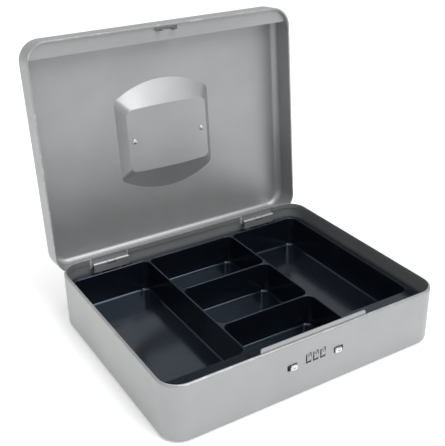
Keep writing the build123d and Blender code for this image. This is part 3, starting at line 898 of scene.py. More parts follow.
def rivet_tree(material: bpy.types.Material) -> NodeKit:
    """Domed rivets: a half ellipsoid head on a plain shank, one at each point."""
    kit = NodeKit("domed_rivets")
    radius, rise = kit.number("Head radius"), kit.number("Head height")
    shank, length, turn = kit.number("Shank radius"), kit.number("Shank length"), kit.turn("Direction")
    ball = kit.add("GeometryNodeMeshUVSphere", {}, {"Segments": 32, "Rings": 16, "Radius": 1.0})
    place = kit.add("GeometryNodeInputPosition")
    split = kit.tree.nodes.new("ShaderNodeSeparateXYZ")
    kit.tree.links.new(place, split.inputs[0])
    top = kit.add("ShaderNodeMath", {"operation": "MAXIMUM"}, {0: split.outputs[2], 1: 0.0})
    half = kit.add("ShaderNodeCombineXYZ", {}, {0: split.outputs[0], 1: split.outputs[1], 2: top})
    dome = kit.add("GeometryNodeSetPosition", {}, {"Geometry": ball, "Position": half})
    size = kit.add("ShaderNodeCombineXYZ", {}, {0: radius, 1: radius, 2: rise})
    head = kit.add("GeometryNodeTransform", {}, {"Geometry": dome, "Scale": size})
    bar = kit.add("GeometryNodeMeshCylinder", {}, {"Vertices": 32, "Radius": shank, "Depth": length})
    half_length = kit.add("ShaderNodeMath", {"operation": "MULTIPLY"}, {0: length, 1: -0.5})
    down = kit.add("ShaderNodeCombineXYZ", {}, {2: half_length})
    stem = kit.add("GeometryNodeTransform", {}, {"Geometry": bar, "Translation": down})
    rivet = kit.add("GeometryNodeJoinGeometry", {}, {"Geometry": [head, stem]})
    at = kit.add("GeometryNodeMeshToPoints", {}, {"Mesh": kit.source.outputs[0]})
    shape = kit.add("GeometryNodeInstanceOnPoints", {}, {"Points": at, "Instance": rivet, "Rotation": turn})
    kit.close(shape, material)
    return kit


def spring_tree(material: bpy.types.Material) -> NodeKit:
    """Compression coils along X, one starting at each point."""
    kit = NodeKit("coil_springs")
    radius, length, wire = kit.number("Coil radius"), kit.number("Length"), kit.number("Wire radius")
    turns = kit.number("Turns")
    helix = kit.add(
        "GeometryNodeCurveSpiral",
        {},
        {
            "Resolution": 28,
            "Rotations": turns,
            "Start Radius": radius,
            "End Radius": radius,
            "Height": length,
        },
    )
    section = kit.add("GeometryNodeCurvePrimitiveCircle", {}, {"Resolution": 10, "Radius": wire})
    coil = kit.add(
        "GeometryNodeCurveToMesh", {}, {"Curve": helix, "Profile Curve": section, "Fill Caps": True}
    )
    lying = kit.add("GeometryNodeTransform", {}, {"Geometry": coil, "Rotation": (0.0, math.pi / 2, 0.0)})
    at = kit.add("GeometryNodeMeshToPoints", {}, {"Mesh": kit.source.outputs[0]})
    shape = kit.add("GeometryNodeInstanceOnPoints", {}, {"Points": at, "Instance": lying})
    kit.close(shape, material)
    return kit


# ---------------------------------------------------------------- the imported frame
@dataclass(frozen=True)
class Extent:
    """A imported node's corners at rest, in millimetres."""

    low: Vector
    high: Vector

    @classmethod
    def of(cls, node: str) -> "Extent":
        """Read one node's corners."""
        low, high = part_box(node)
        return cls(Vector(low) / MM, Vector(high) / MM)

    @property
    def middle(self) -> Vector:
        """The centre of the box."""
        return (self.low + self.high) / 2


class Cradle:
    """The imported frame, and the hinge that the lid swings about."""

    def __init__(self, frame: dict[str, Any]) -> None:
        """Read the hinge's place and opening.
        """
        self.nodes = frame["nodes"]
        hinge = next(j for j in frame["joints"] if j["name"] == "lid_hinge")
        self.hinge_y, self.hinge_z = (v / MM for v in hinge["pos_m"][1:])
        self.open_degrees = -min(hinge["range_deg"])

    def swing(self) -> Matrix:
        """The matrix that swings a closed lid piece open, in millimetres."""
        pin = Matrix.Translation((0.0, self.hinge_y, self.hinge_z))
        turn = Matrix.Rotation(math.radians(-self.open_degrees), 4, "X")
        return pin @ turn @ pin.inverted()

    def rivet_xs(self) -> list[float]:
        """The four hinge rivets' places along X."""
        places = []
        for side in ("left", "right"):
            middle = Extent.of(f"hinge_bracket_{side}").middle.x
            places += [middle - HINGE_RIVET_HALF, middle + HINGE_RIVET_HALF]
        return places


def settle(piece: bpy.types.Object, body: str, slot: str, nodes: Sequence[str]) -> bpy.types.Object:
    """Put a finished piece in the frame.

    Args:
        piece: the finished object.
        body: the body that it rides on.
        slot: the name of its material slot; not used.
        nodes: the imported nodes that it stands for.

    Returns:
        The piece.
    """
    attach(piece, body)
    if nodes:
        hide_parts(*nodes)
    log.info("%s: %d faces on %s", piece.name, len(piece.data.polygons), body)
    return piece


@dataclass
class Wardrobe:
    """Every finish, made once."""

    cradle: Cradle

    def __post_init__(self) -> None:
        """Build the materials."""
        body_rim = Extent.of("body_shell").high.z
        self.body_paint = PaintedSteel("silver_paint_body", rims=((body_rim, 2.2),)).material()
        self.lid_paint = PaintedSteel(
            "silver_paint_lid",
            rims=((body_rim + RIM_GAP, 1.6),),
            turn=math.radians(self.cradle.open_degrees),
            pivot=(self.cradle.hinge_y, self.cradle.hinge_z),
        ).material()
        self.part_paint = PaintedSteel("silver_paint_fittings", roughness=0.36).material()
        self.plastic = MouldedPlastic().material()
        chrome = BareMetal("bright_chrome", (0.66, 0.67, 0.69), (0.50, 0.50, 0.52), 0.14, 0.06)
        zinc = BareMetal("zinc_plating", (0.58, 0.59, 0.60), (0.42, 0.42, 0.40), 0.34, 0.14)
        steel = BareMetal("spring_steel", (0.36, 0.36, 0.37), (0.24, 0.23, 0.22), 0.28, 0.12)
        dial = BareMetal("dial_silver", (0.40, 0.40, 0.41), (0.27, 0.27, 0.28), 0.30, 0.10)
        self.chrome, self.zinc = chrome.material(), zinc.material()
        self.steel, self.dial = steel.material(), dial.material()
        self.ink = DialInk().material()


# ---------------------------------------------------------------- body
@dataclass
class BoxBody:
    """Drawn steel body with a folded hem inside its rim."""

    cradle: Cradle
    wardrobe: Wardrobe
    corner: float = 21.4
    base_radius: float = 4.0
    rim_radius: float = 2.1
    hem_height: float = 6.0
    window_half_height: float = 5.5
    window_side_gap: float = 0.75
    button_travel: float = 2.0
    button_gap: float = 0.5
    notch_side_gap: float = 2.3
    notch_bottom: float = 48.0
    floor_inset: float = 34.0

    def shell(self) -> Solid:
        """The pan itself, floor, walls, rim and hem, as one skin."""
        box = Extent.of("body_shell")
        plan = Plan(box.high.x, box.high.y, self.corner)
        top, hem = box.high.z, box.high.z - self.hem_height
        near = self.base_radius + 2.0
        rows = [
            Row(plan.ring(self.floor_inset, 0.0)),
            Row(plan.ring(near, 0.0)),
            Row(plan.ring(0.0, 0.0), self.base_radius, 8),
            Row(plan.ring(0.0, top), self.rim_radius, 8),
            Row(plan.ring(2 * SHEET, top), 0.25, 3),
            Row(plan.ring(2 * SHEET, hem), 0.3, 3),
            Row(plan.ring(SHEET, hem + 0.4)),
            Row(plan.ring(SHEET, SHEET), self.base_radius - SHEET, 7),
            Row(plan.ring(near, SHEET)),
            Row(plan.ring(self.floor_inset, SHEET)),
        ]
        return Solid.lofted(rows)

    def windows(self) -> list[Solid]:
        """Cutters for the three dial windows and the two button slots."""
        front = Extent.of("body_shell").low.y
        cutters = []
        for name in ("left", "centre", "right"):
            dial = Extent.of(f"number_dial_{name}")
            half = dial.high.x - dial.middle.x + self.window_side_gap
            x, z, tall = dial.middle.x, dial.middle.z, self.window_half_height
            plan = Plan(half, tall, 0.7)
            cutters.append(self.port(plan, x, z, front))
        for name, side in (("left", -1), ("right", 1)):
            button = Extent.of(f"latch_button_{name}")
            half = (button.high.x - button.low.x + self.button_travel) / 2 + self.button_gap
            x = button.middle.x + side * self.button_travel / 2
            tall = (button.high.z - button.low.z) / 2 + self.button_gap
            cutters.append(self.port(Plan(half, tall, 1.6), x, button.middle.z, front))
        return cutters

    @staticmethod
    def port(plan: Plan, x: float, z: float, front: float) -> Solid:
        """A rounded cutter through the front wall.

        Args:
            plan: its outline, as half width and half height.
            x: its centre.
            z: its centre height.
            front: the wall's outer face.

        Returns:
            The cutter, flared a little at the outer face.
        """
        flare = 0.25
        depths = [(-flare - OVER, front - OVER), (-flare, front - 0.01), (0.0, front + flare)]
        depths.append((0.0, front + SHEET + OVER))
        rows = []
        for inset, y in depths:
            ring = [Vector((p.x + x, y, p.y + z)) for p in plan.ring(inset, 0.0)]
            rows.append(Row(ring))
        return Solid.lofted(rows)

    def notches(self) -> list[Solid]:
        """Cutters for the openings that the hinge leaves swing through."""
        box = Extent.of("body_shell")
        cutters = []
        for name in ("left", "right"):
            bracket = Extent.of(f"hinge_bracket_{name}")
            low = (bracket.low.x - self.notch_side_gap, box.high.y - 2 * SHEET - OVER, self.notch_bottom)
            high = (bracket.high.x + self.notch_side_gap, box.high.y + OVER, box.high.z + OVER)
            cutters.append(Solid.block(low, high))
        return cutters

    def build(self) -> bpy.types.Object:
        """Make the body."""
        shell = self.shell().cut(*self.windows(), *self.notches())
        piece = shell.finish("body_shell_skin", self.wardrobe.body_paint, 34.0)
        return settle(piece, "box", "painted_steel", ["body_shell"])


# ---------------------------------------------------------------- lid
@dataclass
class Lid:
    """Drawn steel lid with a sunk recess for the carrying handle."""

    cradle: Cradle
    wardrobe: Wardrobe
    corner: float = 21.4
    edge_radius: float = 8.0
    hem_height: float = 4.4
    hem_thickness: float = 0.6
    hem_rear_clearance: float = 26.0
    mouth: Arch = Arch(55.5, 43.0, 60.0, 9.0)
    floor: Arch = Arch(46.8, 33.5, 34.5, 7.0)
    floor_radius: float = 2.0
    mouth_radius: float = 0.7
    slope_offset: float = 0.5

    def hem_ring(self, plan: Plan, z: float) -> Ring:
        """The hem's inner face: full thickness in front, none behind."""
        thick, thin = plan.ring(SHEET + self.hem_thickness, z), plan.ring(SHEET + 0.02, z)
        end = plan.half_y - self.hem_rear_clearance
        return [a if a.y < end else b for a, b in zip(thick, thin)]

    def shell(self) -> Solid:
        """The lid closed, as one skin from the recess's floor out and back in."""
        box = Extent.of("body_shell")
        plan = Plan(box.high.x, box.high.y, self.corner)
        rim = box.high.z + RIM_GAP
        top = box.high.z + LID_HEIGHT
        under = top - SHEET
        floor, pad = top - RECESS_DEPTH, under - RECESS_DEPTH
        hem = rim + self.hem_height
        off = -self.slope_offset
        near = self.edge_radius + 3.0
        grown = -4.0
        rows = [
            Row(self.floor.ring(20.0, floor)),
            Row(self.floor.ring(4.0, floor)),
            Row(self.floor.ring(0.0, floor), self.floor_radius - SHEET / 2, 4),
            Row(self.mouth.ring(0.0, top), self.mouth_radius + SHEET, 5),
            Row(self.mouth.ring(grown, top)),
            Row(plan.ring(near, top)),
            Row(plan.ring(0.0, top), self.edge_radius, 12),
            Row(plan.ring(0.0, rim), 0.4, 3),
            Row(self.hem_ring(plan, rim), 0.3, 3),
            Row(self.hem_ring(plan, hem), 0.2, 2),
            Row(plan.ring(SHEET, hem + 0.25)),
            Row(plan.ring(SHEET, under), self.edge_radius - SHEET, 10),
            Row(plan.ring(near, under)),
            Row(self.mouth.ring(grown, under)),
            Row(self.mouth.ring(off, under), self.mouth_radius, 4),
            Row(self.floor.ring(off, pad), self.floor_radius, 6),
            Row(self.floor.ring(4.0, pad)),
            Row(self.floor.ring(20.0, pad)),
        ]
        return Solid.lofted(rows)

    def build(self) -> list[bpy.types.Object]:
        """Make the lid shell and the strike angle along its front."""
        shell = self.shell().turn(self.cradle.swing())
        skin = shell.finish("lid_shell_skin", self.wardrobe.lid_paint, 34.0)
        strike = Solid.of_node(self.cradle.nodes["strike_angle"]).soften(0.28, 3)
        bar = strike.finish("strike_angle_bar", self.wardrobe.part_paint, 34.0)
        return [
            settle(skin, "lid", "painted_steel", ["lid_shell"]),
            settle(bar, "lid", "painted_steel", ["strike_angle"]),
        ]


# ---------------------------------------------------------------- hinges
@dataclass
class HingePair:
    """Two butt hinges: bracket on the body, leaf on the lid, pin and rivets."""

    cradle: Cradle
    wardrobe: Wardrobe
    pin_radius: float = 1.0
    leaf_knuckle: float = 8.0
    knuckle_gap: float = 0.3
    running: float = 0.06
    leaf_reach: float = 7.2
    leaf_height: float = 20.0
    shelf_drop: float = 8.15
    flange: float = 10.0
    bend: float = 0.9
    edge: float = 0.18

    def wall(self) -> float:
        """Inner face of the rear wall."""
        return Extent.of("body_shell").high.y - SHEET

    def barrel(self, x0: float, x1: float, bore: float) -> Solid:
        """A rolled knuckle with its bore."""
        y, z = self.cradle.hinge_y, self.cradle.hinge_z
        rod = Solid.rod(Vector((x0, y, z)), Vector((x1, y, z)), KNUCKLE_RADIUS, 0.2)
        hole = Solid.rod(Vector((x0 - OVER, y, z)), Vector((x1 + OVER, y, z)), bore)
        return rod.cut(hole)

    def bracket(self, side: str) -> bpy.types.Object:
        """The body half: a plate stepped back to the wall, with two knuckles."""
        box = Extent.of(f"hinge_bracket_{side}")
        y, z, wall = self.cradle.hinge_y, self.cradle.hinge_z, self.wall()
        front, shelf = y - KNUCKLE_RADIUS, z - self.shelf_drop
        low, foot = shelf - WELD_PLATE, shelf - WELD_PLATE - self.flange
        section = [
            ((front, z), 0.0),
            ((front, low), self.bend + WELD_PLATE / 2),
            ((wall - WELD_PLATE, low), self.bend - 0.5),
            ((wall - WELD_PLATE, foot), 0.0),
            ((wall, foot), 0.0),
            ((wall, shelf), self.bend),
            ((front + WELD_PLATE, shelf), self.bend - 0.5),
            ((front + WELD_PLATE, z), 0.0),
        ]
        plate = Solid.along_x(section, box.low.x, box.high.x)
        middle, half = box.middle.x, self.leaf_knuckle / 2 + self.knuckle_gap
        reach = KNUCKLE_RADIUS + self.knuckle_gap
        gap = Solid.block((middle - half, y - reach, z - reach), (middle + half, y + reach, z + reach))
        plate.cut(gap).soften(self.edge, 2)
        hole = Solid.rod(Vector((box.low.x - OVER, y, z)), Vector((box.high.x + OVER, y, z)), self.pin_radius)
        plate.cut(hole)
        bore = self.pin_radius + self.running / 3
        plate.beside(
            self.barrel(box.low.x, middle - half, bore), self.barrel(middle + half, box.high.x, bore)
        )
        piece = plate.finish(f"hinge_bracket_{side}_plate", self.wardrobe.part_paint)
        return settle(piece, "box", "painted_steel", [f"hinge_bracket_{side}"])

    def leaf(self, side: str) -> bpy.types.Object:
        """The lid half: an angle plate with one middle knuckle, shaped closed."""
        middle = Extent.of(f"hinge_bracket_{side}").middle.x
        half = Extent.of(f"hinge_bracket_{side}").high.x - middle
        y, z, wall = self.cradle.hinge_y, self.cradle.hinge_z, self.wall()
        low = z + KNUCKLE_RADIUS + self.knuckle_gap
        top = Extent.of("body_shell").high.z + RIM_GAP + self.leaf_height
        section = [
            ((y - self.leaf_reach, low), 0.0),
            ((wall, low), self.bend + 0.3),
            ((wall, top), 0.0),
            ((wall - WELD_PLATE, top), 0.0),
            ((wall - WELD_PLATE, low + WELD_PLATE), 0.4),
            ((y - self.leaf_reach, low + WELD_PLATE), 0.0),
        ]
        plate = Solid.along_x(section, middle - half, middle + half).soften(self.edge, 2)
        x0, x1 = middle - self.leaf_knuckle / 2, middle + self.leaf_knuckle / 2
        neck = Solid.block((x0, y - WELD_PLATE, z), (x1, y + WELD_PLATE, low + WELD_PLATE / 2))
        neck.cut(Solid.rod(Vector((x0 - OVER, y, z)), Vector((x1 + OVER, y, z)), KNUCKLE_RADIUS * 0.9))
        plate.beside(neck.soften(0.12, 2), self.barrel(x0, x1, self.pin_radius + self.running))
        plate.turn(self.cradle.swing())
        piece = plate.finish(f"hinge_leaf_{side}_plate", self.wardrobe.part_paint)
        return settle(piece, "lid", "painted_steel", [f"hinge_leaf_{side}"])

    def pin(self, side: str) -> bpy.types.Object:
        """The pin, with rounded ends."""
        box = Extent.of(f"hinge_pin_{side}")
        ends = [Vector((x, box.middle.y, box.middle.z)) for x in (box.low.x, box.high.x)]
        rod = Solid.rod(ends[0], ends[1], self.pin_radius, 0.3)
        piece = rod.finish(f"hinge_pin_{side}_rod", self.wardrobe.zinc)
        return settle(piece, "box", "zinc_plate", [f"hinge_pin_{side}"])

    def rivets(self) -> list[bpy.types.Object]:
        """Both sets of hinge rivets, grown by the rivet tree."""
        tree = rivet_tree(self.wardrobe.part_paint)
        head_y = self.wall() - WELD_PLATE
        length = Extent.of("body_shell").high.y - head_y - 0.02
        sizes = RIVET_SIZES | {"Shank length": length, "Direction": (math.pi / 2, 0.0, 0.0)}
        body_z = Extent.of("hinge_bracket_rivets").middle.z
        lid_z = Extent.of("body_shell").high.z + RIM_GAP + self.leaf_height / 2
        made = []
        for body, z, node in (("box", body_z, "hinge_bracket_rivets"), ("lid", lid_z, "hinge_leaf_rivets")):
            group = tree.grow([Vector((x, head_y, z)) for x in self.cradle.rivet_xs()], sizes)
            if body == "lid":
                group.turn(self.cradle.swing())
            piece = group.finish(f"{node}_set", self.wardrobe.part_paint, 50.0)
            made.append(settle(piece, body, "painted_steel", [node]))
        return made

    def build(self) -> list[bpy.types.Object]:
        """Make both hinges."""
        made = [make(side) for side in ("left", "right") for make in (self.bracket, self.leaf, self.pin)]
        return made + self.rivets()


# ---------------------------------------------------------------- tray
@dataclass(frozen=True)
class Bay:
    """One compartment: its mouth, and how far each side is set in at the floor."""

    x0: float
    x1: float
    y0: float
    y1: float
    left: float
    right: float
    front: float
    rear: float

    def ring(self, share: float, grow: float, z: float, corner: float) -> Ring:
        """The compartment's outline part of the way down.

        Args:
            share: 0 at the mouth, 1 at the floor.
            grow: distance outwards.
            z: height.
            corner: corner radius of the compartment itself.

        Returns:
            The ring.
        """
        x0, x1 = self.x0 + share * self.left - grow, self.x1 - share * self.right + grow
        y0, y1 = self.y0 + share * self.front - grow, self.y1 - share * self.rear + grow
        centre = ((x0 + x1) / 2, (y0 + y1) / 2)
        return Plan((x1 - x0) / 2, (y1 - y0) / 2, corner + grow, centre).ring(0.0, z)


@dataclass
class CoinTray:
    """One-piece moulded tray: two bill bays, three coin bays and four feet."""

    cradle: Cradle
    wardrobe: Wardrobe
    wall: float = 1.6
    divider: float = 2.0
    corner: float = 16.0
    bay_corner: float = 8.0
    floor_radius: float = 3.0
    lip: float = 0.8
    floor_z: float = 10.4
    coin_half: float = 51.8
    side_ledge: float = 5.5
    front_ledge: float = 26.5
    rear_coin: float = 73.0
    middle_coin: float = 74.5
    steep: float = 2.0
    slope: float = 5.0
    lock_half: float = 54.0
    lock_back: float = -103.4
    notch_half: float = 22.3
    rear_gap: float = 0.6
    foot_radius: float = 6.0
    foot_inset: float = 22.0
    foot_edge: float = 0.8
    node_names: tuple[str, ...] = (
        "tray_bill_bay_left",
        "tray_bill_bay_right",
        "tray_coin_bay_rear",
        "tray_coin_bay_middle",
        "tray_coin_bay_front",
        "tray_rear_ledge",
    )

    def outer(self) -> tuple[float, float, float, float]:
        """Half length, front, rear and top of the whole tray."""
        boxes = [Extent.of(name) for name in self.node_names]
        half, front = max(b.high.x for b in boxes), min(b.low.y for b in boxes)
        return half, front, max(b.high.y for b in boxes), max(b.high.z for b in boxes)

    def rear(self) -> float:
        """Rear side of the rearmost compartments."""
        return self.cradle.hinge_y - KNUCKLE_RADIUS - self.rear_gap - self.wall

    def bays(self) -> list[Bay]:
        """Every compartment."""
        half, front, _, _ = self.outer()
        rear, out, inner = self.rear(), half - self.side_ledge, self.coin_half + self.divider
        near, steep, slope = front + self.front_ledge, self.steep, self.slope
        made = [
            Bay(-out, -inner, near, rear, slope, steep, slope, slope),
            Bay(inner, out, near, rear, steep, slope, slope, slope),
        ]
        first = rear - self.rear_coin
        second = first - self.divider - self.middle_coin
        coin, front = self.coin_half, self.lock_back + self.wall
        spans = [(first, rear), (second, first - self.divider), (front, second - self.divider)]
        return made + [Bay(-coin, coin, y0, y1, steep, steep, steep, steep) for y0, y1 in spans]

    def cup(self, bay: Bay, top: float) -> Solid:
        """A compartment's outside, from the tray's top to its underside."""
        rows = [
            Row(bay.ring(1.0, self.wall - 6.0, self.floor_z, self.bay_corner)),
            Row(bay.ring(1.0, self.wall, self.floor_z, self.bay_corner), 1.6, 3),
            Row(bay.ring(0.0, self.wall, top - 0.3, self.bay_corner)),
        ]
        return Solid.lofted(rows)

    def hollow(self, bay: Bay, top: float) -> Solid:
        """A compartment's inside, with a flared lip and a rounded floor."""
        floor = self.floor_z + self.wall
        depth = top - floor
        lip_share = self.lip / depth
        rows = [
            Row(bay.ring(1.0, -9.0, floor, self.bay_corner)),
            Row(bay.ring(1.0, 0.0, floor, self.bay_corner), self.floor_radius, 7),
            Row(bay.ring(lip_share, 0.0, top - self.lip, self.bay_corner)),
        ]
        for i in range(1, 6):
            turn = math.pi / 2 * i / 5
            rise, out = self.lip * math.sin(turn), self.lip * (1 - math.cos(turn))
            rows.append(Row(bay.ring(0.0, out, top - self.lip + rise, self.bay_corner)))
        rows[-1] = Row(bay.ring(0.0, self.lip, top + 0.02, self.bay_corner))
        rows.append(Row(bay.ring(0.0, self.lip, top + OVER, self.bay_corner)))
        return Solid.lofted(rows)

    def rim(self) -> Solid:
        """The flat rim with rounded edges, notched at the hinges and the lock case."""
        half, front, rear, top = self.outer()
        plan = Plan(half, (rear - front) / 2, self.corner, (0.0, (rear + front) / 2))
        low = top - self.wall
        rows = [
            Row(plan.ring(5.0, low)),
            Row(plan.ring(0.0, low), 0.4, 3),
            Row(plan.ring(0.0, top), 0.7, 4),
            Row(plan.ring(5.0, top)),
        ]
        slab = Solid.lofted(rows)
        lock_corner = (self.lock_half, self.lock_back, top + OVER)
        cutters = [Solid.block((-self.lock_half, front - OVER, low - OVER), lock_corner)]
        for side in ("left", "right"):
            x = Extent.of(f"hinge_bracket_{side}").middle.x
            y = self.rear() + self.wall
            low_corner = (x - self.notch_half, y, low - OVER)
            cutters.append(Solid.block(low_corner, (x + self.notch_half, rear + OVER, top + OVER)))
        return slab.cut(*cutters)

    def feet(self) -> list[Solid]:
        """Four short round feet."""
        half, front, _, _ = self.outer()
        low = min(Extent.of(name).low.z for name in self.node_names)
        ys = (front + self.front_ledge + self.foot_inset, self.rear() - self.foot_inset)
        x = half - self.foot_inset
        places = [(side * x, y) for y in ys for side in (-1, 1)]
        top = self.floor_z + self.wall / 2
        ends = [(Vector((*place, low)), Vector((*place, top))) for place in places]
        return [Solid.rod(a, b, self.foot_radius, self.foot_edge, 48) for a, b in ends]

    def build(self) -> bpy.types.Object:
        """Make the tray."""
        _, _, _, top = self.outer()
        tray = self.rim()
        tray.join(*[self.cup(bay, top) for bay in self.bays()], *self.feet())
        tray.cut(*[self.hollow(bay, top) for bay in self.bays()])
        piece = tray.finish("cash_tray_moulding", self.wardrobe.plastic, 28.0)
        return settle(piece, "tray", "black_plastic", list(self.node_names))


# ---------------------------------------------------------------- lock
@dataclass
class NumberLock:
    """Three number dials, two slide buttons and the works behind the front wall."""

    cradle: Cradle
    wardrobe: Wardrobe
    groove_count: int = 10
    groove_radius: float = 0.55
    bore: float = 3.2
    figure_height: float = 3.3
    figure_depth: float = 0.05
    coil_radius: float = 1.95
    wire_radius: float = 0.25
    coil_turns: float = 6.0

    def figure(self, digit: int, radius: float, turn: float, x: float, y: float, z: float) -> Solid:
        """One number as a thin raised mesh on the dial's face.

        Args:
            digit: the number, 0 to 9.
            radius: the dial's radius.
            turn: its place round the dial, in radians from the front.
            x: the dial's centre along X.
            y: the dial's axis.
            z: the dial's axis height.

        Returns:
            The figure.
        """
        curve = bpy.data.curves.new("figure", "FONT")
        curve.body = str(digit)
        curve.size = self.figure_height * 1.35
        curve.align_x, curve.align_y = "CENTER", "CENTER"
        curve.extrude = self.figure_depth
        curve.resolution_u = 3
        obj = bpy.data.objects.new("figure", curve)
        bpy.context.scene.collection.objects.link(obj)
        graph = bpy.context.evaluated_depsgraph_get()
        mesh = bpy.data.meshes.new_from_object(obj.evaluated_get(graph), depsgraph=graph)
        solid = Solid([v.co.copy() for v in mesh.vertices], [list(p.vertices) for p in mesh.polygons])
        bpy.data.objects.remove(obj)
        bpy.data.curves.remove(curve)
        bpy.data.meshes.remove(mesh)
        flat = radius * math.cos(math.pi / self.groove_count * 0.55)
        face = Matrix.Translation((x, y, z)) @ Matrix.Rotation(turn, 4, "X")
        face = face @ Matrix.Translation((0.0, -flat, 0.0)) @ Matrix.Rotation(math.pi / 2, 4, "X")
        return solid.turn(face)

    def dial(self, side: str) -> list[bpy.types.Object]:
        """One dial with its grooves, and the inked figures on it."""
        box = Extent.of(f"number_dial_{side}")
        x, y, z = box.middle
        z = Extent.of("dial_shaft").middle.z
        radius, half = (box.high.y - box.low.y) / 2, (box.high.x - box.low.x) / 2
        outline: Ring = []
        slot = 2 * math.pi / self.groove_count
        spread = math.asin(self.groove_radius / radius)
        for i in range(self.groove_count):
            middle = slot * (i + 0.5)
            for k in range(7):
                turn = math.pi * k / 6
                across, down = self.groove_radius * math.cos(turn), self.groove_radius * math.sin(turn)
                angle = middle - math.asin(across / radius)
                reach = radius - 0.75 * down
                outline.append(Vector((0.0, reach * math.cos(angle), reach * math.sin(angle))))
            for k in range(1, 8):
                angle = middle + spread + (slot - 2 * spread) * k / 8
                outline.append(Vector((0.0, radius * math.cos(angle), radius * math.sin(angle))))
        rings = []
        for scale, at in ((0.6, -half), (0.955, -half), (0.985, -half + 0.1), (1.0, -half + 0.35)):
            rings.append([Vector((at, p.y * scale, p.z * scale)) for p in outline])
        rings += [[Vector((-p.x, p.y, p.z)) for p in ring] for ring in rings[::-1]]
        shift = Vector((x, y, z))
        wheel = Solid.lofted([Row([p + shift for p in ring]) for ring in rings])
        wheel.cut(
            Solid.rod(Vector((x - half - OVER, y, z)), Vector((x + half + OVER, y, z)), self.bore)
        )
        wheel_piece = wheel.finish(f"number_dial_{side}_wheel", self.wardrobe.dial, 40.0)
        figures = [self.figure(i, radius, slot * i, x, y, z) for i in range(self.groove_count)]
        figures[0].beside(*figures[1:])
        inked = figures[0].finish(f"number_dial_{side}_figures", self.wardrobe.ink, 40.0)
        body = f"{side}_dial"
        return [
            settle(wheel_piece, body, "dial_face", [f"number_dial_{side}"]),
            settle(inked, body, "dial_face", []),
        ]

    def button(self, side: str) -> bpy.types.Object:
        """One slide button: a crowned face with rounded edges on a plain stem."""
        box = Extent.of(f"latch_button_{side}")
        middle = box.middle
        half_x, half_z = (box.high.x - box.low.x) / 2, (box.high.z - box.low.z) / 2
        plan = Plan(half_x, half_z, 1.5)

        def ring(inset: float, y: float) -> Ring:
            """The button's outline at one depth."""
            return [Vector((p.x + middle.x, y, p.y + middle.z)) for p in plan.ring(inset, 0.0)]

        face, back = box.low.y, Extent.of("body_shell").low.y + SHEET + 0.3
        rows = [
            Row(ring(2.4, face)),
            Row(ring(1.5, face + 0.04)),
            Row(ring(0.0, face + 0.25), 0.9, 6),
            Row(ring(0.0, back), 0.2, 2),
            Row(ring(1.2, back)),
            Row(ring(1.2, box.high.y)),
        ]
        piece = Solid.lofted(rows).finish(f"latch_button_{side}_cap", self.wardrobe.chrome, 40.0)
        return settle(piece, f"{side}_latch", "bright_chrome", [f"latch_button_{side}"])

    def springs(self) -> list[bpy.types.Object]:
        """Both latch springs, grown by the coil tree."""
        tree = spring_tree(self.wardrobe.steel)
        made = []
        for side in ("left", "right"):
            box = Extent.of(f"latch_spring_{side}")
            start = Vector((box.low.x + self.wire_radius, box.middle.y, box.middle.z))
            sizes = {
                "Coil radius": self.coil_radius,
                "Length": box.high.x - box.low.x - 2 * self.wire_radius,
                "Wire radius": self.wire_radius,
                "Turns": self.coil_turns,
            }
            coil = tree.grow([start], sizes)
            piece = coil.finish(f"latch_spring_{side}_coil", self.wardrobe.steel, 60.0)
            made.append(settle(piece, "box", "spring_steel", [f"latch_spring_{side}"]))
        return made

    def rivets(self) -> bpy.types.Object:
        """The four rivets through the lock case's ears."""
        tree = rivet_tree(self.wardrobe.zinc)
        box, case = Extent.of("lock_case_rivets"), Extent.of("lock_case")
        head = RIVET_SIZES["Head radius"]
        xs = (box.low.x + head, box.high.x - head)
        zs = (box.low.z + head, box.high.z - head)
        head_y = case.low.y + SHEET
        sizes = RIVET_SIZES | {
            "Shank length": head_y - box.low.y,
            "Direction": (-math.pi / 2, 0.0, 0.0),
        }
        group = tree.grow([Vector((x, head_y, z)) for x in xs for z in zs], sizes)
        piece = group.finish("lock_case_rivet_set", self.wardrobe.zinc, 50.0)
        return settle(piece, "box", "zinc_plate", ["lock_case_rivets"])

    def works(self) -> list[bpy.types.Object]:
        """The guard plate and the pressed parts, with their edges rounded."""
        parts = [
            ("lock_guard_plate", "box", "painted_steel", self.wardrobe.part_paint, 0.3),
            ("lock_case", "box", "zinc_plate", self.wardrobe.zinc, 0.2),
            ("latch_slide_left", "left_latch", "zinc_plate", self.wardrobe.zinc, 0.12),
            ("latch_slide_right", "right_latch", "zinc_plate", self.wardrobe.zinc, 0.12),
        ]
        made = []
        for node, body, slot, material, edge in parts:
            solid = Solid.of_node(self.cradle.nodes[node]).soften(edge, 2)
            piece = solid.finish(f"{node}_pressing", material)
            made.append(settle(piece, body, slot, [node]))
        return made

    def inner(self) -> None:
        """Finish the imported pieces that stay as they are."""
        finishes = {"dial_shaft": self.wardrobe.zinc, "dial_detent_spring": self.wardrobe.steel}
        finishes |= {f"dial_hub_{side}": self.wardrobe.zinc for side in ("left", "centre", "right")}
        for node, material in finishes.items():
            for slot in self.cradle.nodes[node].material_slots:
                slot.material = material
            log.info("%s: packed mesh kept", node)

    def build(self) -> list[bpy.types.Object]:
        """Make the whole lock."""
        made = [piece for side in ("left", "centre", "right") for piece in self.dial(side)]
        made += [self.button(side) for side in ("left", "right")]
        made += self.springs() + [self.rivets()] + self.works()
        self.inner()
        return made


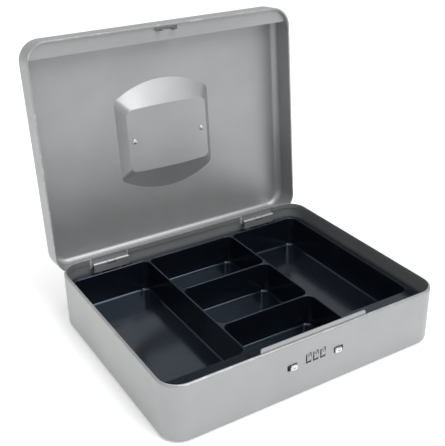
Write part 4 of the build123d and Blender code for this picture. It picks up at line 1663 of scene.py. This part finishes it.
# ---------------------------------------------------------------- handle
@dataclass
class CarryingHandle:
    """Wire bail with a thicker grip, its two brackets and their rivets."""

    cradle: Cradle
    wardrobe: Wardrobe
    wire_radius: float = 2.0
    grip_radius: float = 3.2
    grip_half: float = 22.5
    arm_x: float = 29.5
    reach: float = 26.0
    bend: float = 6.0
    pin_bend: float = 2.6
    ridge_count: int = 22
    ridge_depth: float = 0.22
    shoulder: float = 1.2
    rivet_x: float = 40.6

    def route(self, box: Extent) -> list[Vector]:
        """The wire's centre line, hanging straight down from its pins."""
        y, top = box.middle.y, box.high.z - self.wire_radius
        low = top - self.reach
        corners = [
            (box.low.x, top, 0.0),
            (-self.arm_x, top, self.pin_bend),
            (-self.arm_x, low, self.bend),
            (self.arm_x, low, self.bend),
            (self.arm_x, top, self.pin_bend),
            (box.high.x, top, 0.0),
        ]
        places = [Vector((x, y, z)) for x, z, _ in corners]
        path = [places[0]]
        for k in range(1, len(places) - 1):
            path += rounded(places[k - 1], places[k], places[k + 1], corners[k][2], 12)
        return path + [places[-1]]

    def tube(self, path: Sequence[Vector], radius: float, count: int = 28) -> Solid:
        """A round wire along a flat path in X and Z, with rounded ends."""
        side = Vector((0.0, 1.0, 0.0))
        rows = []
        for i, point in enumerate(path):
            before, after = path[max(i - 1, 0)], path[min(i + 1, len(path) - 1)]
            along = (after - before).normalized()
            up = side.cross(along)
            if i == 0 or i == len(path) - 1:
                inward = along if i == 0 else -along
                small = circle(point, radius * 0.75, side, up, count)
                full = circle(point + inward * 0.4, radius, side, up, count)
                rows += [Row(small), Row(full)] if i == 0 else [Row(full), Row(small)]
            else:
                rows.append(Row(circle(point, radius, side, up, count)))
        return Solid.lofted(rows)

    def grip(self, y: float, z: float) -> Solid:
        """The thicker middle of the bail, with shallow ridges."""
        across, up = Vector((0.0, 1.0, 0.0)), Vector((0.0, 0.0, 1.0))
        rows = [Row(circle(Vector((-self.grip_half, y, z)), self.wire_radius * 0.9, across, up, 40))]
        stations = self.ridge_count * 4
        for i in range(stations + 1):
            share = i / stations
            x = -self.grip_half + 2 * self.grip_half * share
            edge = min(share, 1 - share) * 2 * self.grip_half
            rise = math.sqrt(max(0.0, 1 - (1 - min(edge / self.shoulder, 1.0)) ** 2))
            wave = 0.5 - 0.5 * math.cos(2 * math.pi * share * self.ridge_count)
            inside = 1.0 if edge > 2 * self.shoulder else 0.0
            full = self.grip_radius - self.ridge_depth * wave * inside
            radius = self.wire_radius + (full - self.wire_radius) * rise
            rows.append(Row(circle(Vector((x, y, z)), radius, across, up, 40)))
        rows.append(Row(circle(Vector((self.grip_half, y, z)), self.wire_radius * 0.9, across, up, 40)))
        return Solid.lofted(rows)

    def build(self) -> list[bpy.types.Object]:
        """Make the bail, the brackets and the rivets."""
        box = Extent.of("handle_bail")
        middle_y = box.middle.y
        bail = self.tube(self.route(box), self.wire_radius)
        bail.beside(self.grip(middle_y, box.high.z - self.wire_radius - self.reach))
        piece = bail.finish("handle_bail_wire", self.wardrobe.chrome, 50.0)
        made = [settle(piece, "handle", "bright_chrome", ["handle_bail"])]
        for side in ("left", "right"):
            node = f"handle_bracket_{side}"
            solid = Solid.of_node(self.cradle.nodes[node]).soften(0.22, 3)
            piece = solid.finish(f"{node}_ear", self.wardrobe.zinc)
            made.append(settle(piece, "lid", "zinc_plate", [node]))
        return made + [self.rivets()]

    def rivets(self) -> bpy.types.Object:
        """Two rivets with a head on each side of the recess's floor."""
        tree = rivet_tree(self.wardrobe.zinc)
        floor = Extent.of("body_shell").high.z + LID_HEIGHT - RECESS_DEPTH
        outer, inner = floor + WELD_PLATE, floor - SHEET
        xs = (-self.rivet_x, self.rivet_x)
        sizes = RIVET_SIZES | {"Shank length": (outer - inner) / 2}
        up = tree.grow([Vector((x, 0.0, outer)) for x in xs], sizes | {"Direction": (0.0, 0.0, 0.0)})
        down = tree.grow([Vector((x, 0.0, inner)) for x in xs], sizes | {"Direction": (math.pi, 0.0, 0.0)})
        group = up.beside(down).turn(self.cradle.swing())
        piece = group.finish("handle_rivet_pair", self.wardrobe.zinc, 50.0)
        return settle(piece, "lid", "zinc_plate", ["handle_rivets"])


# ---------------------------------------------------------------- studio
@dataclass
class Studio:
    """Camera, soft lights, pale world and pale floor."""

    eye: tuple[float, float, float] = (-0.371654, -0.580719, 0.464877)
    azimuth: float = -31.308
    elevation: float = 26.516
    roll: float = -0.8387
    lens: float = 64.37
    shift: Pair = (-0.01006, -0.0011)
    world_strength: float = 0.66
    floor_half: float = 30.0

    def camera(self) -> None:
        """Set the camera."""
        a, e, r = (math.radians(v) for v in (self.azimuth, self.elevation, self.roll))
        back = Vector((math.sin(a) * math.cos(e), -math.cos(a) * math.cos(e), math.sin(e)))
        right = Vector((0.0, 0.0, 1.0)).cross(back).normalized()
        up = back.cross(right)
        turned_right = right * math.cos(r) + up * math.sin(r)
        turned_up = up * math.cos(r) - right * math.sin(r)
        data = bpy.data.cameras.new("camera")
        data.lens = self.lens
        data.shift_x, data.shift_y = self.shift
        camera = bpy.data.objects.new("camera", data)
        bpy.context.scene.collection.objects.link(camera)
        matrix = Matrix((turned_right, turned_up, back)).transposed().to_4x4()
        matrix.translation = Vector(self.eye)
        camera.matrix_world = matrix
        bpy.context.scene.camera = camera

    @staticmethod
    def lamp(name: str, place: Sequence[float], target: Sequence[float], size: Pair, power: float) -> None:
        """One soft rectangular lamp.

        Args:
            name: its name.
            place: where it stands, in metres.
            target: the point that it faces.
            size: its width and height in metres.
            power: its power in watts.
        """
        data = bpy.data.lights.new(name, "AREA")
        data.shape = "RECTANGLE"
        data.size, data.size_y = size
        data.energy = power
        lamp = bpy.data.objects.new(name, data)
        bpy.context.scene.collection.objects.link(lamp)
        lamp.location = place
        facing = Vector(target) - Vector(place)
        lamp.rotation_euler = facing.to_track_quat("-Z", "Y").to_euler()

    def world(self) -> None:
        """A plain pale surround."""
        world = bpy.data.worlds.new("pale_world")
        world.use_nodes = True
        ground = world.node_tree.nodes["Background"]
        ground.inputs["Color"].default_value = (1.0, 1.0, 1.0, 1.0)
        ground.inputs["Strength"].default_value = self.world_strength
        bpy.context.scene.world = world
        bpy.context.scene.view_settings.view_transform = "Standard"

    def floor(self) -> None:
        """The pale floor under the box."""
        mesh = bpy.data.meshes.new("floor")
        half = self.floor_half
        corners = [(-half, -half, 0.0), (half, -half, 0.0), (half, half, 0.0), (-half, half, 0.0)]
        mesh.from_pydata([(x, y, -0.0002) for x, y, _ in corners], [], [(0, 1, 2, 3)])
        floor = bpy.data.objects.new("studio_floor", mesh)
        mesh.materials.append(Backdrop().material())
        bpy.context.scene.collection.objects.link(floor)
        floor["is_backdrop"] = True

    def build(self) -> None:
        """Set everything up."""
        self.camera()
        self.world()
        self.floor()
        self.lamp("key", (0.45, -1.35, 1.75), (0.0, 0.1, 0.12), (1.2, 1.2), 23.0)
        self.lamp("fill", (-1.5, -0.6, 1.5), (0.0, 0.0, 0.08), (1.6, 1.2), 1.5)
        self.lamp("top", (0.1, 0.1, 2.0), (0.0, 0.05, 0.05), (1.4, 1.0), 12.0)


def corners(box: tuple[Any, Any]) -> list[list[float]]:
    """A box as plain lists of numbers."""
    return [[float(v) for v in corner] for corner in box]


def main() -> None:
    """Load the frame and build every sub-assembly."""
    logging.basicConfig(level=logging.INFO, format="%(name)s: %(message)s")
    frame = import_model()
    packed = corners(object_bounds())
    Studio().build()
    cradle = Cradle(frame)
    wardrobe = Wardrobe(cradle)
    for part in (BoxBody, Lid, HingePair, CoinTray, NumberLock, CarryingHandle):
        log.info("building %s", part.__name__)
        part(cradle, wardrobe).build()
    {"cad": packed, "visual": corners(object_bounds())}


if __name__ == "__main__":
    main()
